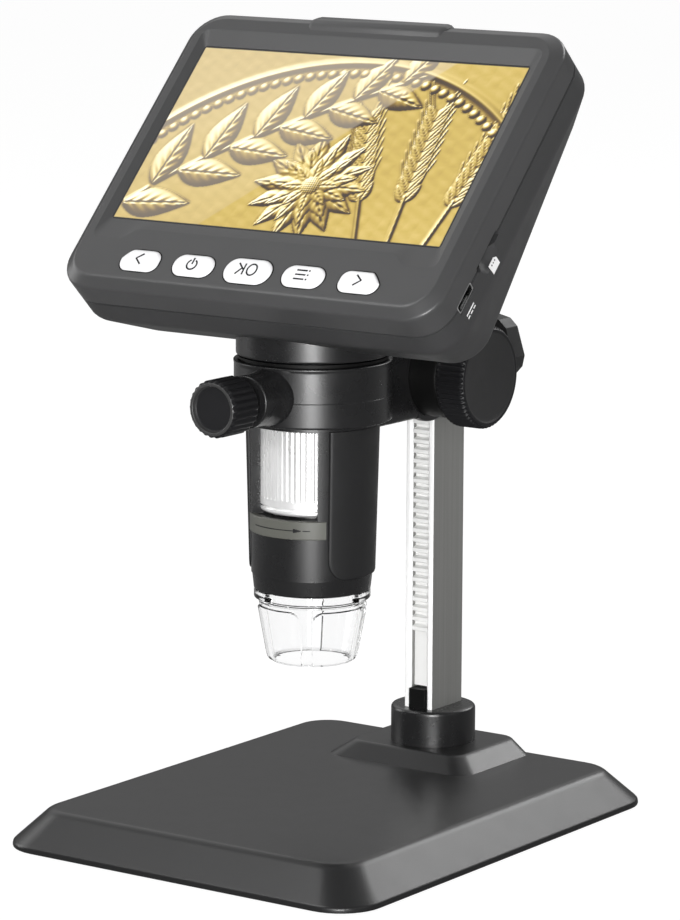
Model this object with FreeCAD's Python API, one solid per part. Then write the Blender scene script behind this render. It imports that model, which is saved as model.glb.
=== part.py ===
"""LCD digital microscope on a rack-and-pinion stand.

Millimetres, +Z up, origin at the middle of the base's underside. The user sits at -Y and looks
at the tilted screen; the focus knobs turn about X behind the barrel. The display housing is drawn
in its own flat frame (x across the screen, y up the screen, z out of the screen) and then placed.
"""
import math
import os

import FreeCAD
import Part

# Base
BASE_HALF_X = 52.5
BASE_HALF_Y = 66.1
BASE_CORNER = 11.0
LIP_BOTTOM = 0.3
LIP_TOP = 1.5
BASE_TOP = 9.4
BEVEL = 7.4
PLATE_BOTTOM = 0.6
PLATE_TOP = 2.6
PLATE_INSET = 2.6
CAVITY_TOP = 7.4
PLATE_SCREW_X = 38.0
PLATE_SCREW_Y = (-46.0, 22.0)

# Pedestal, socket and column
COLUMN_Y = 44.4
COLUMN_HALF_X = 4.15
COLUMN_HALF_Y = 6.9
COLUMN_BOTTOM = 8.0
COLUMN_TOP = 150.0
CAP_TOP = 152.0
PAD_TOP = 13.0
SOCKET_R = 10.65
SOCKET_TOP = 22.0
SLOT_HALF = 2.3
SLOT_DEPTH = 4.0
BOLT_R = 2.0

# Rack and pinion
MODULE = 0.8
TEETH = 12
PRESSURE = math.radians(20)
PITCH_R = MODULE * TEETH / 2
RACK_PITCH = math.pi * MODULE
BACKLASH = 0.24
PINION_ADDENDUM = 0.75
PINION_DEDENDUM = 1.0
RACK_ADDENDUM = 0.55
RACK_DEDENDUM = 0.95
PINION_Y = 33.6
PINION_Z = 108.9
PINION_HALF = 2.0
RACK_FOOT = 27.5
RACK_TEETH_FROM = 40.4
SHAFT_R = 2.5
RUNNING = 0.05

# Carriage
GAP = 0.3
CARRIAGE_HALF = 6.5
CARRIAGE_BOTTOM = 97.8
CARRIAGE_TOP = 121.0
CARRIAGE_BACK = 55.5
BOSS_R = 12.5
BEARING_R = 6.0
HUB_R = 11.0
HUB_END = 14.6
KNOB_R = 12.7
KNOB_FROM = 14.9
KNOB_TO = 23.3
KNOB_RIDGES = 40
LOCK_Z = 109.6
LOCK_FROM = 63.8
LOCK_TO = 69.8
LOCK_APOTHEM = 9.6
LOCK_TURN = 17.5

# Collar and barrel
BARREL_Y = -8.46
COLLAR_R = 19.1
COLLAR_BORE = 17.6
COLLAR_BOTTOM = 102.5
COLLAR_TOP = 116.9
NECK_R = 16.25
UPPER_R = 18.5
UPPER_BOTTOM = 118.1
THUMB_Z = 109.7
THUMB_BOSS_R = 6.3
THUMB_BOSS_END = 27.5
THUMB_KNOB_R = 6.9
THUMB_KNOB_SPAN = (30.5, 40.6)
WINDOW_HALF_ANGLE = 40.0
WINDOW_BOTTOM = 79.7
WINDOW_TOP = 101.5
PLATE_HALF_ANGLE = 48.0
ARROW_BOTTOM = 75.3
SHELL_BOTTOM = 65.0
BORE_R = 13.6
WEB_BOTTOM = 101.2
WEB_TOP = 103.0
TUBE_R = 10.55
TUBE_BORE = 9.45
WHEEL_R = 13.0
NOSE_BOTTOM = 61.0
SPIGOT_BORE = 13.3
NOSE_SEAT_R = 13.9
NOSE_TOP = 72.0
LED_COUNT = 8
LED_CIRCLE = 10.3

# Display housing, in its own frame
HOUSING_ORIGIN = (0.0, -6.63, 168.18)
HOUSING_TILT = 45.98
HOUSING_HALF = 54.6
HOUSING_LOW = -47.4
HOUSING_HIGH = 38.05
HOUSING_CORNER = 8.7
WALL = 2.2
FRONT_FACE = 0.96
PARTING = -7.4
SIDE_END = -14.0
WALL_BACK = -1.0
BACK_LEVEL = -25.0
BACK_TILT = math.degrees(math.atan(0.13))
INNER_BACK = -23.0
GLASS_HALF_X = 47.6
GLASS_HALF_Y = 27.0
BOARD_FRONT = -5.0
BOARD_BACK = -6.6
SCREW_X = 44.0
SCREW_V = (33.4, -42.4)
SCREW_SEAT = -16.0
BUTTON_V = -39.5
BUTTON_TOP = 1.76
BUTTONS = {
    "button_left": (-31.7, 11.2, 6.2, 2.6),
    "button_power": (-15.9, 11.8, 6.3, 3.1),
    "button_ok": (0.0, 13.4, 7.2, 3.55),
    "button_menu": (15.9, 11.8, 6.3, 3.1),
    "button_right": (31.7, 11.2, 6.2, 2.6),
}
USB_V = (-38.6, -30.8)
CARD_V = (-27.2, -15.8)
DIMMER_U = -50.8
DIMMER_V = -20.0
DIMMER_R = 5.0

X_AXIS = FreeCAD.Vector(1, 0, 0)
Y_AXIS = FreeCAD.Vector(0, 1, 0)
Z_AXIS = FreeCAD.Vector(0, 0, 1)


# Drawing aids
def vec(x, y, z):
    return FreeCAD.Vector(x, y, z)


def box(x0, x1, y0, y1, z0, z1):
    """Block between two corners."""
    return Part.makeBox(x1 - x0, y1 - y0, z1 - z0, vec(x0, y0, z0))


def cyl(radius, z0, z1, x=0.0, y=0.0):
    """Upright cylinder."""
    return Part.makeCylinder(radius, z1 - z0, vec(x, y, z0), Z_AXIS)


def rod_x(radius, x0, x1, y=PINION_Y, z=PINION_Z):
    """Cylinder along X, by default on the pinion's axis."""
    return Part.makeCylinder(radius, x1 - x0, vec(x0, y, z), X_AXIS)


def rod_y(radius, y0, y1, z, x=0.0):
    """Cylinder along Y."""
    return Part.makeCylinder(radius, y1 - y0, vec(x, y0, z), Y_AXIS)


def turned(profile, x=0.0, y=0.0):
    """Solid of revolution about an upright axis, from (radius, height) corners."""
    points = [vec(r, 0, z) for r, z in profile]
    face = Part.Face(Part.makePolygon(points + points[:1]))
    solid = face.revolve(vec(0, 0, 0), Z_AXIS, 360)
    solid.translate(vec(x, y, 0))
    return solid


def prism(points, direction):
    """Polygon pushed along a direction."""
    return Part.Face(Part.makePolygon(points + points[:1])).extrude(direction)


def outline(x0, x1, y0, y1, radius, z=0.0, tilt=0.0):
    """Rounded rectangle as a closed wire at height z, tipped about X by tilt degrees."""
    half = math.sqrt(0.5)
    edges = []
    corners = [(x1 - radius, y1 - radius, 0), (x0 + radius, y1 - radius, 90),
               (x0 + radius, y0 + radius, 180), (x1 - radius, y0 + radius, 270)]
    arcs = []
    for cx, cy, start in corners:
        points = []
        for turn in (0, 45, 90):
            angle = math.radians(start + turn)
            points.append(vec(cx + radius * math.cos(angle), cy + radius * math.sin(angle), 0))
        arcs.append(points)
    for index, points in enumerate(arcs):
        edges.append(Part.Arc(*points).toShape())
        edges.append(Part.makeLine(points[2], arcs[(index + 1) % 4][0]))
    wire = Part.Wire(edges)
    wire.Placement = FreeCAD.Placement(vec(0, 0, z), FreeCAD.Rotation(X_AXIS, tilt))
    return wire


def slab(x0, x1, y0, y1, radius, z0, z1):
    """Flat plate with rounded corners."""
    return Part.Face(outline(x0, x1, y0, y1, radius, z0)).extrude(vec(0, 0, z1 - z0))


def lofted(*wires):
    """Solid with straight walls through a stack of outlines."""
    return Part.makeLoft(list(wires), True, True)


def ridged(radius, depth, count, z0, z1):
    """Upright disc whose rim carries pointed ridges."""
    points = []
    for index in range(2 * count):
        reach = radius if index % 2 == 0 else radius - depth
        angle = math.pi * index / count
        points.append(vec(reach * math.cos(angle), reach * math.sin(angle), z0))
    return prism(points, vec(0, 0, z1 - z0))


def laid_along_x(shape, x, mirrored=False):
    """Upright shape turned so its axis is the pinion's, its foot at x, pointing outward."""
    turn = FreeCAD.Rotation(Y_AXIS, -90 if mirrored else 90)
    placed = shape.copy()
    placed.Placement = FreeCAD.Placement(vec(x, PINION_Y, PINION_Z), turn)
    return placed


def sector(half_angle, z0, z1, facing=-90.0, reach=30.0):
    """Wedge about the barrel's axis, centred on a bearing in degrees."""
    points = [vec(0, BARREL_Y, z0)]
    for step in range(9):
        angle = math.radians(facing + half_angle * (step / 4 - 1))
        points.append(vec(reach * math.cos(angle), BARREL_Y + reach * math.sin(angle), z0))
    return prism(points, vec(0, 0, z1 - z0))


def on_screen(shape):
    """Move a shape from the housing's flat frame to its tilted place."""
    placed = shape.copy()
    tilt = FreeCAD.Placement(vec(*HOUSING_ORIGIN), FreeCAD.Rotation(X_AXIS, HOUSING_TILT))
    placed.Placement = tilt.multiply(placed.Placement)
    return placed


def joined(shapes):
    """One solid from touching shapes."""
    first, rest = shapes[0], shapes[1:]
    return first.fuse(rest).removeSplitter() if rest else first


def less(shape, tools):
    """Shape with several tools cut away."""
    return shape.cut(Part.makeCompound(tools)) if tools else shape


# Base and column
def base_outline(inset, radius, z):
    return outline(inset - BASE_HALF_X, BASE_HALF_X - inset, inset - BASE_HALF_Y,
                   BASE_HALF_Y - inset, radius, z)


def base_cover():
    """Bevelled hollow cover with the raised pad that carries the column."""
    skin = lofted(base_outline(0, BASE_CORNER, LIP_BOTTOM), base_outline(0, BASE_CORNER, LIP_TOP),
                  base_outline(BEVEL, 8.0, BASE_TOP))
    pad_back = BASE_HALF_Y - BEVEL
    pad = lofted(outline(-21.5, 21.5, 26.3, pad_back, 5.0, BASE_TOP - 0.2),
                 outline(-16.5, 16.5, 31.0, pad_back - 0.6, 4.0, PAD_TOP))
    plate_seat = base_outline(PLATE_INSET, BASE_CORNER - PLATE_INSET, LIP_BOTTOM)
    seat = Part.Face(plate_seat).extrude(vec(0, 0, PLATE_TOP - LIP_BOTTOM))
    hollow = lofted(base_outline(4.4, 7.0, PLATE_TOP), base_outline(8.8, 6.0, CAVITY_TOP))
    boss = slab(-12, 12, COLUMN_Y - 13, COLUMN_Y + 12.5, 3.0, PLATE_TOP, CAVITY_TOP)
    posts = [cyl(3.4, PLATE_TOP, CAVITY_TOP, x, y) for x, y in plate_screw_places()]
    pilots = [cyl(1.2, PLATE_TOP, CAVITY_TOP, x, y) for x, y in plate_screw_places()]
    cover = less(joined([skin, pad]), [seat, less(hollow, [boss] + posts)])
    bolt_way = joined([cyl(BOLT_R + 0.1, PLATE_TOP, COLUMN_BOTTOM, 0, COLUMN_Y),
                       cyl(4.2, PLATE_TOP, 5.4, 0, COLUMN_Y)])
    return less(cover, pilots + [column_bar(COLUMN_BOTTOM, PAD_TOP), bolt_way])


def plate_screw_places():
    return [(side * PLATE_SCREW_X, y) for side in (-1, 1) for y in PLATE_SCREW_Y]


def base_plate():
    """Steel plate that closes and weights the base."""
    wire = base_outline(PLATE_INSET, BASE_CORNER - PLATE_INSET, PLATE_BOTTOM)
    plate = Part.Face(wire).extrude(vec(0, 0, PLATE_TOP - PLATE_BOTTOM))
    holes = []
    for x, y in plate_screw_places():
        holes.append(cyl(1.4, PLATE_BOTTOM, PLATE_TOP, x, y))
        holes.append(cyl(2.8, PLATE_BOTTOM, PLATE_BOTTOM + 1.1, x, y))
    return less(plate, holes)


def base_mat():
    """Non-slip sheet under the plate."""
    wire = base_outline(PLATE_INSET + 1.2, BASE_CORNER - PLATE_INSET, 0)
    return Part.Face(wire).extrude(vec(0, 0, PLATE_BOTTOM))


def plate_screws():
    screws = []
    for x, y in plate_screw_places():
        head = cyl(2.6, PLATE_BOTTOM + 0.1, PLATE_BOTTOM + 1.1, x, y)
        screws.append(joined([head, cyl(1.2, PLATE_BOTTOM + 1.1, CAVITY_TOP - 0.4, x, y)]))
    return Part.makeCompound(screws)


def column_bar(z0, z1, grow=0.0):
    return box(-COLUMN_HALF_X - grow, COLUMN_HALF_X + grow, COLUMN_Y - COLUMN_HALF_Y - grow,
               COLUMN_Y + COLUMN_HALF_Y + grow, z0, z1)


def column_slot(z0, z1):
    front = COLUMN_Y - COLUMN_HALF_Y
    return box(-SLOT_HALF, SLOT_HALF, front, front + SLOT_DEPTH, z0, z1)


def column():
    """Aluminium bar with the rack's slot down its front face."""
    thread = cyl(BOLT_R, COLUMN_BOTTOM, COLUMN_BOTTOM + 12, 0, COLUMN_Y)
    return less(column_bar(COLUMN_BOTTOM, COLUMN_TOP),
                [column_slot(SOCKET_TOP, COLUMN_TOP), thread])


def column_bolt():
    head = cyl(3.9, 3.4, 5.4, 0, COLUMN_Y)
    return joined([head, cyl(BOLT_R, 5.4, COLUMN_BOTTOM + 11, 0, COLUMN_Y)])


def column_socket():
    """Round socket the column stands in, its rims eased."""
    body = turned([(0, PAD_TOP), (SOCKET_R, PAD_TOP), (SOCKET_R, SOCKET_TOP - 0.9),
                   (SOCKET_R - 0.9, SOCKET_TOP), (0, SOCKET_TOP)], 0, COLUMN_Y)
    return less(body, [column_bar(PAD_TOP, SOCKET_TOP)])


def socket_clip():
    """Dark stop that closes the foot of the slot."""
    front = COLUMN_Y - COLUMN_HALF_Y
    return box(-SLOT_HALF, SLOT_HALF, front - 0.7, front + SLOT_DEPTH, SOCKET_TOP, RACK_FOOT - 0.5)


def rack():
    """Plain strip with straight-flanked teeth from RACK_TEETH_FROM upward."""
    pitch_line = PINION_Y + PITCH_R
    root = pitch_line + RACK_DEDENDUM
    back = COLUMN_Y - COLUMN_HALF_Y + SLOT_DEPTH
    strip = box(-SLOT_HALF, SLOT_HALF, root, back, RACK_FOOT, COLUMN_TOP)
    tip_half = RACK_PITCH / 4 - RACK_ADDENDUM * math.tan(PRESSURE)
    root_half = RACK_PITCH / 4 + RACK_DEDENDUM * math.tan(PRESSURE)
    first = math.ceil((RACK_TEETH_FROM - PINION_Z) / RACK_PITCH)
    last = math.floor((COLUMN_TOP - 2 - PINION_Z) / RACK_PITCH)
    bars = [strip]
    for index in range(first, last):
        z = PINION_Z + (index + 0.5) * RACK_PITCH
        corners = [(root + 0.05, -root_half), (pitch_line - RACK_ADDENDUM, -tip_half),
                   (pitch_line - RACK_ADDENDUM, tip_half), (root + 0.05, root_half)]
        points = [vec(-SLOT_HALF, y, z + rise) for y, rise in corners]
        bars.append(prism(points, vec(2 * SLOT_HALF, 0, 0)))
    return bars[0].fuse(bars[1:])


def column_cap():
    """Cap on the column's end, its top edges eased."""
    y0, y1 = COLUMN_Y - COLUMN_HALF_Y, COLUMN_Y + COLUMN_HALF_Y
    return lofted(outline(-COLUMN_HALF_X, COLUMN_HALF_X, y0, y1, 1.0, COLUMN_TOP),
                  outline(-COLUMN_HALF_X, COLUMN_HALF_X, y0, y1, 1.0, CAP_TOP - 0.8),
                  outline(0.8 - COLUMN_HALF_X, COLUMN_HALF_X - 0.8, y0 + 0.8, y1 - 0.8, 0.6, CAP_TOP))


# Carriage
def bracket():
    """Carriage on the column, arm, and the collar that holds the barrel."""
    block = slab(-CARRIAGE_HALF, CARRIAGE_HALF, BARREL_Y + COLLAR_R - 3, CARRIAGE_BACK, 2.0,
                 CARRIAGE_BOTTOM, CARRIAGE_TOP)
    arm_relief = box(-CARRIAGE_HALF, CARRIAGE_HALF, BARREL_Y, BARREL_Y + COLLAR_R + 6,
                     COLLAR_TOP, CARRIAGE_TOP)
    collar = cyl(COLLAR_R, COLLAR_BOTTOM, COLLAR_TOP, 0, BARREL_Y)
    thumb_boss = rod_y(THUMB_BOSS_R, BARREL_Y - THUMB_BOSS_END, BARREL_Y - COLLAR_BORE, THUMB_Z)
    side_boss = rod_x(BOSS_R, -CARRIAGE_HALF, CARRIAGE_HALF)
    lock_boss = rod_y(5.4, CARRIAGE_BACK - 1, CARRIAGE_BACK + 2.5, LOCK_Z)
    solid = joined([less(block, [arm_relief]), collar, thumb_boss, side_boss, lock_boss])
    tools = [cyl(COLLAR_BORE, CARRIAGE_BOTTOM, CARRIAGE_TOP, 0, BARREL_Y),
             column_bar(CARRIAGE_BOTTOM - 5, CARRIAGE_TOP + 5, GAP),
             rod_x(BEARING_R, -CARRIAGE_HALF, CARRIAGE_HALF),
             gib_pocket(),
             rod_y(2.0 + RUNNING, CARRIAGE_BACK - 4, CARRIAGE_BACK + 3, LOCK_Z),
             rod_y(2.0 + RUNNING, BARREL_Y - THUMB_BOSS_END, BARREL_Y - 15, THUMB_Z)]
    return less(solid, tools)


def gib_pocket():
    back = COLUMN_Y + COLUMN_HALF_Y + GAP
    return box(-3.2, 3.2, back - 0.1, back + 1.8, LOCK_Z - 6, LOCK_Z + 6)


def gib_pad():
    """Soft pad that the lock screw presses on the column."""
    back = COLUMN_Y + COLUMN_HALF_Y + GAP
    return box(-3.2, 3.2, back + 0.05, back + 1.8, LOCK_Z - 6, LOCK_Z + 6)


def bearing_cap(mirrored):
    """Round bearing housing between the carriage and a knob."""
    length = HUB_END - CARRIAGE_HALF
    spigot = CARRIAGE_HALF - COLUMN_HALF_X - GAP - 0.15
    cap = turned([(SHAFT_R + RUNNING, -spigot), (BEARING_R, -spigot), (BEARING_R, 0), (HUB_R, 0),
                  (HUB_R, length - 0.6), (HUB_R - 0.6, length), (SHAFT_R + RUNNING, length)])
    return laid_along_x(cap, -CARRIAGE_HALF if mirrored else CARRIAGE_HALF, mirrored)


def flank_angle(radius):
    """Half the tooth's angular width at a radius, on involute flanks."""
    base_r = PITCH_R * math.cos(PRESSURE)
    here = math.acos(min(1.0, base_r / radius))
    at_pitch = (RACK_PITCH / 2 - BACKLASH) / (2 * PITCH_R)
    return at_pitch + math.tan(PRESSURE) - PRESSURE - math.tan(here) + here


def pinion_shaft():
    """Shaft with the pinion cut on its middle; one tooth points at the rack."""
    base_r = PITCH_R * math.cos(PRESSURE)
    tip_r = PITCH_R + PINION_ADDENDUM
    root_r = PITCH_R - PINION_DEDENDUM
    radii = [base_r + (tip_r - base_r) * step / 6 for step in range(7)]
    points = []
    for tooth in range(TEETH):
        middle = 2 * math.pi * tooth / TEETH
        flank = [(root_r, -flank_angle(base_r))] + [(r, -flank_angle(r)) for r in radii]
        flank += [(r, flank_angle(r)) for r in reversed(radii)] + [(root_r, flank_angle(base_r))]
        for radius, offset in flank:
            angle = middle + offset
            points.append(vec(-PINION_HALF, PINION_Y + radius * math.cos(angle),
                              PINION_Z + radius * math.sin(angle)))
    gear = prism(points, vec(2 * PINION_HALF, 0, 0))
    return joined([gear, rod_x(SHAFT_R, -KNOB_TO + 2, KNOB_TO - 2)])


def focus_knob(mirrored):
    """Ridged knob with a dished face, pressed on the shaft."""
    height = KNOB_TO - KNOB_FROM
    rim = ridged(KNOB_R, 0.55, KNOB_RIDGES, 0, height)
    ease = turned([(KNOB_R - 1.2, height + 0.1), (KNOB_R + 0.4, height + 0.1), (KNOB_R + 0.4, height - 1.3)])
    dish = turned([(0, height - 1.5), (8.0, height - 1.0), (11.2, height + 0.1), (0, height + 0.1)])
    bore = cyl(SHAFT_R, 0, height - 2)
    knob = less(rim, [ease, dish, bore])
    return laid_along_x(knob, -KNOB_FROM if mirrored else KNOB_FROM, mirrored)


def lock_knob():
    """Six-sided clamping knob with cut corners, behind the carriage."""
    side = LOCK_APOTHEM * math.tan(math.pi / 6)
    facet = side - 1.7
    points = []
    for index in range(6):
        middle = math.radians(LOCK_TURN + 60 * index)
        for offset in (-facet, facet):
            x = LOCK_APOTHEM * math.cos(middle) - offset * math.sin(middle)
            z = LOCK_APOTHEM * math.sin(middle) + offset * math.cos(middle)
            points.append(vec(x, LOCK_FROM, LOCK_Z + z))
    head = prism(points, vec(0, LOCK_TO - LOCK_FROM, 0))
    hub = rod_y(5.0, CARRIAGE_BACK + 2.8, LOCK_FROM, LOCK_Z)
    dish = rod_y(6.4, LOCK_TO - 0.9, LOCK_TO + 1, LOCK_Z)
    return less(joined([head, hub]), [dish, rod_y(2.0, CARRIAGE_BACK + 2, LOCK_TO - 2, LOCK_Z)])


def lock_screw():
    tip = COLUMN_Y + COLUMN_HALF_Y + GAP + 1.8 + 0.3
    return rod_y(2.0, tip, LOCK_TO - 2, LOCK_Z)


def thumb_knob():
    """Ridged knob of the screw that clamps the barrel."""
    near, far = THUMB_KNOB_SPAN
    body = ridged(THUMB_KNOB_R, 0.4, 26, 0, far - near)
    ease = turned([(THUMB_KNOB_R - 0.8, far - near + 0.1), (THUMB_KNOB_R + 0.4, far - near + 0.1),
                   (THUMB_KNOB_R + 0.4, far - near - 0.9)])
    recess = cyl(5.2, far - near - 1.2, far - near + 1)
    neck = cyl(4.2, -(near - THUMB_BOSS_END) + 0.3, 0.1)
    knob = less(joined([less(body, [ease, recess]), neck]), [cyl(2.0, -4, far - near - 3)])
    knob.Placement = FreeCAD.Placement(vec(0, BARREL_Y - near, THUMB_Z), FreeCAD.Rotation(X_AXIS, 90))
    return knob


def thumb_screw():
    near, far = THUMB_KNOB_SPAN
    return rod_y(2.0, BARREL_Y - far + 3, BARREL_Y - COLLAR_BORE - 0.3, THUMB_Z)


def collar_liner():
    """Flanged sleeve between the collar and the barrel's neck."""
    return turned([(NECK_R + RUNNING, COLLAR_BOTTOM + 0.3), (COLLAR_BORE - RUNNING, COLLAR_BOTTOM + 0.3),
                   (COLLAR_BORE - RUNNING, COLLAR_TOP + 0.3), (UPPER_R - 0.4, COLLAR_TOP + 0.3),
                   (UPPER_R - 0.4, UPPER_BOTTOM - 0.3), (NECK_R + RUNNING, UPPER_BOTTOM - 0.3)], 0, BARREL_Y)


# Barrel
def barrel_roof():
    """Everything above the sloping top of the barrel, inside the housing."""
    points = [vec(-40, -60, 106), vec(-40, 40, 176), vec(-40, 40, 240), vec(-40, -60, 240)]
    return prism(points, vec(80, 0, 0))


def barrel_shell():
    """Barrel: neck in the collar, upper cylinder in the housing, window over the focus wheel."""
    outer = turned([(0, SHELL_BOTTOM), (14.75, SHELL_BOTTOM), (15.3, WINDOW_TOP), (NECK_R, WINDOW_TOP),
                    (NECK_R, UPPER_BOTTOM), (UPPER_R, UPPER_BOTTOM), (UPPER_R, 165), (0, 165)], 0, BARREL_Y)
    inner = turned([(0, SHELL_BOTTOM), (NOSE_SEAT_R, SHELL_BOTTOM), (NOSE_SEAT_R, NOSE_TOP),
                    (BORE_R, NOSE_TOP), (BORE_R, 75.5), (12.0, 75.5),
                    (12.0, 80.0), (BORE_R, 80.0), (BORE_R, WEB_BOTTOM), (TUBE_R, WEB_BOTTOM),
                    (TUBE_R, WEB_TOP), (14.2, WEB_TOP), (14.2, UPPER_BOTTOM + 2), (16.4, UPPER_BOTTOM + 4),
                    (16.4, 165), (0, 165)], 0, BARREL_Y)
    window = sector(WINDOW_HALF_ANGLE, WINDOW_BOTTOM, WINDOW_TOP - 0.3)
    window = window.common(turned([(11.5, 60), (20, 60), (20, 110), (11.5, 110)], 0, BARREL_Y))
    return less(outer, [inner, window, arrow_band(), barrel_roof()])


def arrow_band():
    band = turned([(14.5, ARROW_BOTTOM), (15.2, ARROW_BOTTOM), (15.2, WINDOW_BOTTOM), (14.5, WINDOW_BOTTOM)],
                  0, BARREL_Y)
    return band.common(sector(PLATE_HALF_ANGLE, ARROW_BOTTOM, WINDOW_BOTTOM))


def side_grip(side):
    """Raised grip panel on one side of the barrel."""
    top_r, bottom_r = 15.3, 14.75
    skin = turned([(bottom_r, SHELL_BOTTOM), (bottom_r + 0.45, SHELL_BOTTOM), (NECK_R - 0.1, WINDOW_TOP - 0.4),
                   (NECK_R - 0.1, WINDOW_TOP), (top_r, WINDOW_TOP)], 0, BARREL_Y)
    facing = -90 + side * 97.0
    return skin.common(sector(46.0, SHELL_BOTTOM, WINDOW_TOP, facing))


def nose_ring():
    """Nose that carries the lamp board and takes the clear hood."""
    return turned([(SPIGOT_BORE, NOSE_BOTTOM), (14.1, NOSE_BOTTOM), (14.5, SHELL_BOTTOM),
                   (NOSE_SEAT_R, SHELL_BOTTOM), (NOSE_SEAT_R, NOSE_TOP), (TUBE_R, NOSE_TOP), (TUBE_R, 68.2),
                   (SPIGOT_BORE, 68.2)], 0, BARREL_Y)


def guide_tube():
    """Tube the lens carrier slides in, with a slot for its drive pin."""
    tube = turned([(TUBE_BORE, 68.2), (TUBE_R, 68.2), (TUBE_R, WEB_TOP), (TUBE_BORE, WEB_TOP)], 0, BARREL_Y)
    slot = box(-1.2, 1.2, BARREL_Y + 8, BARREL_Y + 12, 84.5, 95.5)
    return less(tube, [slot])


def focus_wheel():
    """Fluted silver wheel seen through the window."""
    body = turned([(TUBE_R + RUNNING, 80.3), (12.4, 80.3), (WHEEL_R - 0.1, 80.9), (WHEEL_R - 0.1, 83.0),
                   (WHEEL_R - 0.1, 100.9), (TUBE_R + RUNNING, 100.9), (TUBE_R + RUNNING, 97.0),
                   (11.5, 97.0), (11.5, 84.0), (TUBE_R + RUNNING, 84.0)])
    flutes = ridged(WHEEL_R, 0.3, 60, 83.2, 100.9)
    tube = turned([(11.5, 83.2), (14, 83.2), (14, 100.9), (11.5, 100.9)])
    wheel = joined([less(body, [turned([(12.5, 83.2), (14, 83.2), (14, 100.9), (12.5, 100.9)])]),
                    flutes.common(tube)])
    wheel.translate(vec(0, BARREL_Y, 0))
    return wheel


def lens_carrier():
    """Sliding cell for the lens, with the drive pin on its back."""
    cell = turned([(6.0, 84.0), (TUBE_BORE - RUNNING, 84.0), (TUBE_BORE - RUNNING, 96.0), (6.0, 96.0)],
                  0, BARREL_Y)
    pin = rod_y(0.8, BARREL_Y + 8, BARREL_Y + 11.1, 90.0)
    return joined([cell, pin])


def lens():
    """Biconvex lens."""
    below = Part.makeSphere(14.0, vec(0, BARREL_Y, 100.6))
    above = Part.makeSphere(14.0, vec(0, BARREL_Y, 78.4))
    return below.common(above).common(cyl(6.0, 84, 96, 0, BARREL_Y))


def sensor_board():
    return cyl(14.2, WEB_TOP, WEB_TOP + 1.6, 0, BARREL_Y)


def image_sensor():
    return box(-4, 4, BARREL_Y - 4, BARREL_Y + 4, WEB_TOP - 1.2, WEB_TOP)


def led_board():
    return less(cyl(SPIGOT_BORE, 66.8, 68.2, 0, BARREL_Y), [cyl(8.2, 66, 69, 0, BARREL_Y)])


def leds():
    lamps = []
    for index in range(LED_COUNT):
        angle = 2 * math.pi * index / LED_COUNT
        x = LED_CIRCLE * math.cos(angle)
        y = BARREL_Y + LED_CIRCLE * math.sin(angle)
        lamps.append(turned([(0, 66.8), (1.25, 66.8), (1.25, 65.9), (0.7, 65.1), (0, 64.9)], x, y))
    return Part.makeCompound(lamps)


def objective_window():
    """Clear disc behind the lamp board."""
    return cyl(TUBE_BORE, 68.2, 69.4, 0, BARREL_Y)


def hood():
    """Clear open-ended hood that pushes into the nose."""
    body = turned([(12.2, 65.3), (SPIGOT_BORE - 0.08, 65.3), (SPIGOT_BORE - 0.08, NOSE_BOTTOM - 0.2),
                   (14.1, NOSE_BOTTOM - 0.2), (14.1, 58.8), (13.25, 58.3), (10.9, 45.0), (10.4, 43.8),
                   (9.7, 43.3), (8.8, 43.3), (9.7, 45.2), (12.0, 58.3), (12.2, 60.0)], 0, BARREL_Y)
    notches = [cyl(2.0, 43, 46.5, 11.6 * math.cos(a), BARREL_Y + 11.6 * math.sin(a))
               for a in (math.radians(45 + 90 * index) for index in range(4))]
    return less(body, notches)


# Display housing
def shell_outline(inset, z):
    """The housing's side wall at a level, drawn in by an inset."""
    return outline(inset - HOUSING_HALF, HOUSING_HALF - inset, HOUSING_LOW + inset, HOUSING_HIGH - inset,
                   HOUSING_CORNER - inset, z)


def side_openings():
    """Cuts for the two sockets, the card's finger notch and the dimmer wheel."""
    usb = slab(USB_V[0], USB_V[1], -9.2, BOARD_BACK, 0.9, 0, 12)
    usb.Placement = FreeCAD.Placement(vec(46.5, 0, 0), FreeCAD.Rotation(vec(1, 1, 1), 120))
    card = box(46.5, 60, CARD_V[0], CARD_V[1], -8.2, BOARD_BACK)
    notch = cyl(4.6, -9.4, -5.8, 58.0, (CARD_V[0] + CARD_V[1]) / 2 - 0.8)
    wheel = cyl(DIMMER_R + 0.35, -11.2, -8.0, DIMMER_U, DIMMER_V)
    return [usb, card, notch, wheel]


def button_cut(centre, width, height, radius, grow):
    return slab(centre - width / 2 - grow, centre + width / 2 + grow, BUTTON_V - height / 2 - grow,
                BUTTON_V + height / 2 + grow, radius + grow, WALL_BACK - 1, FRONT_FACE + 1)


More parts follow.
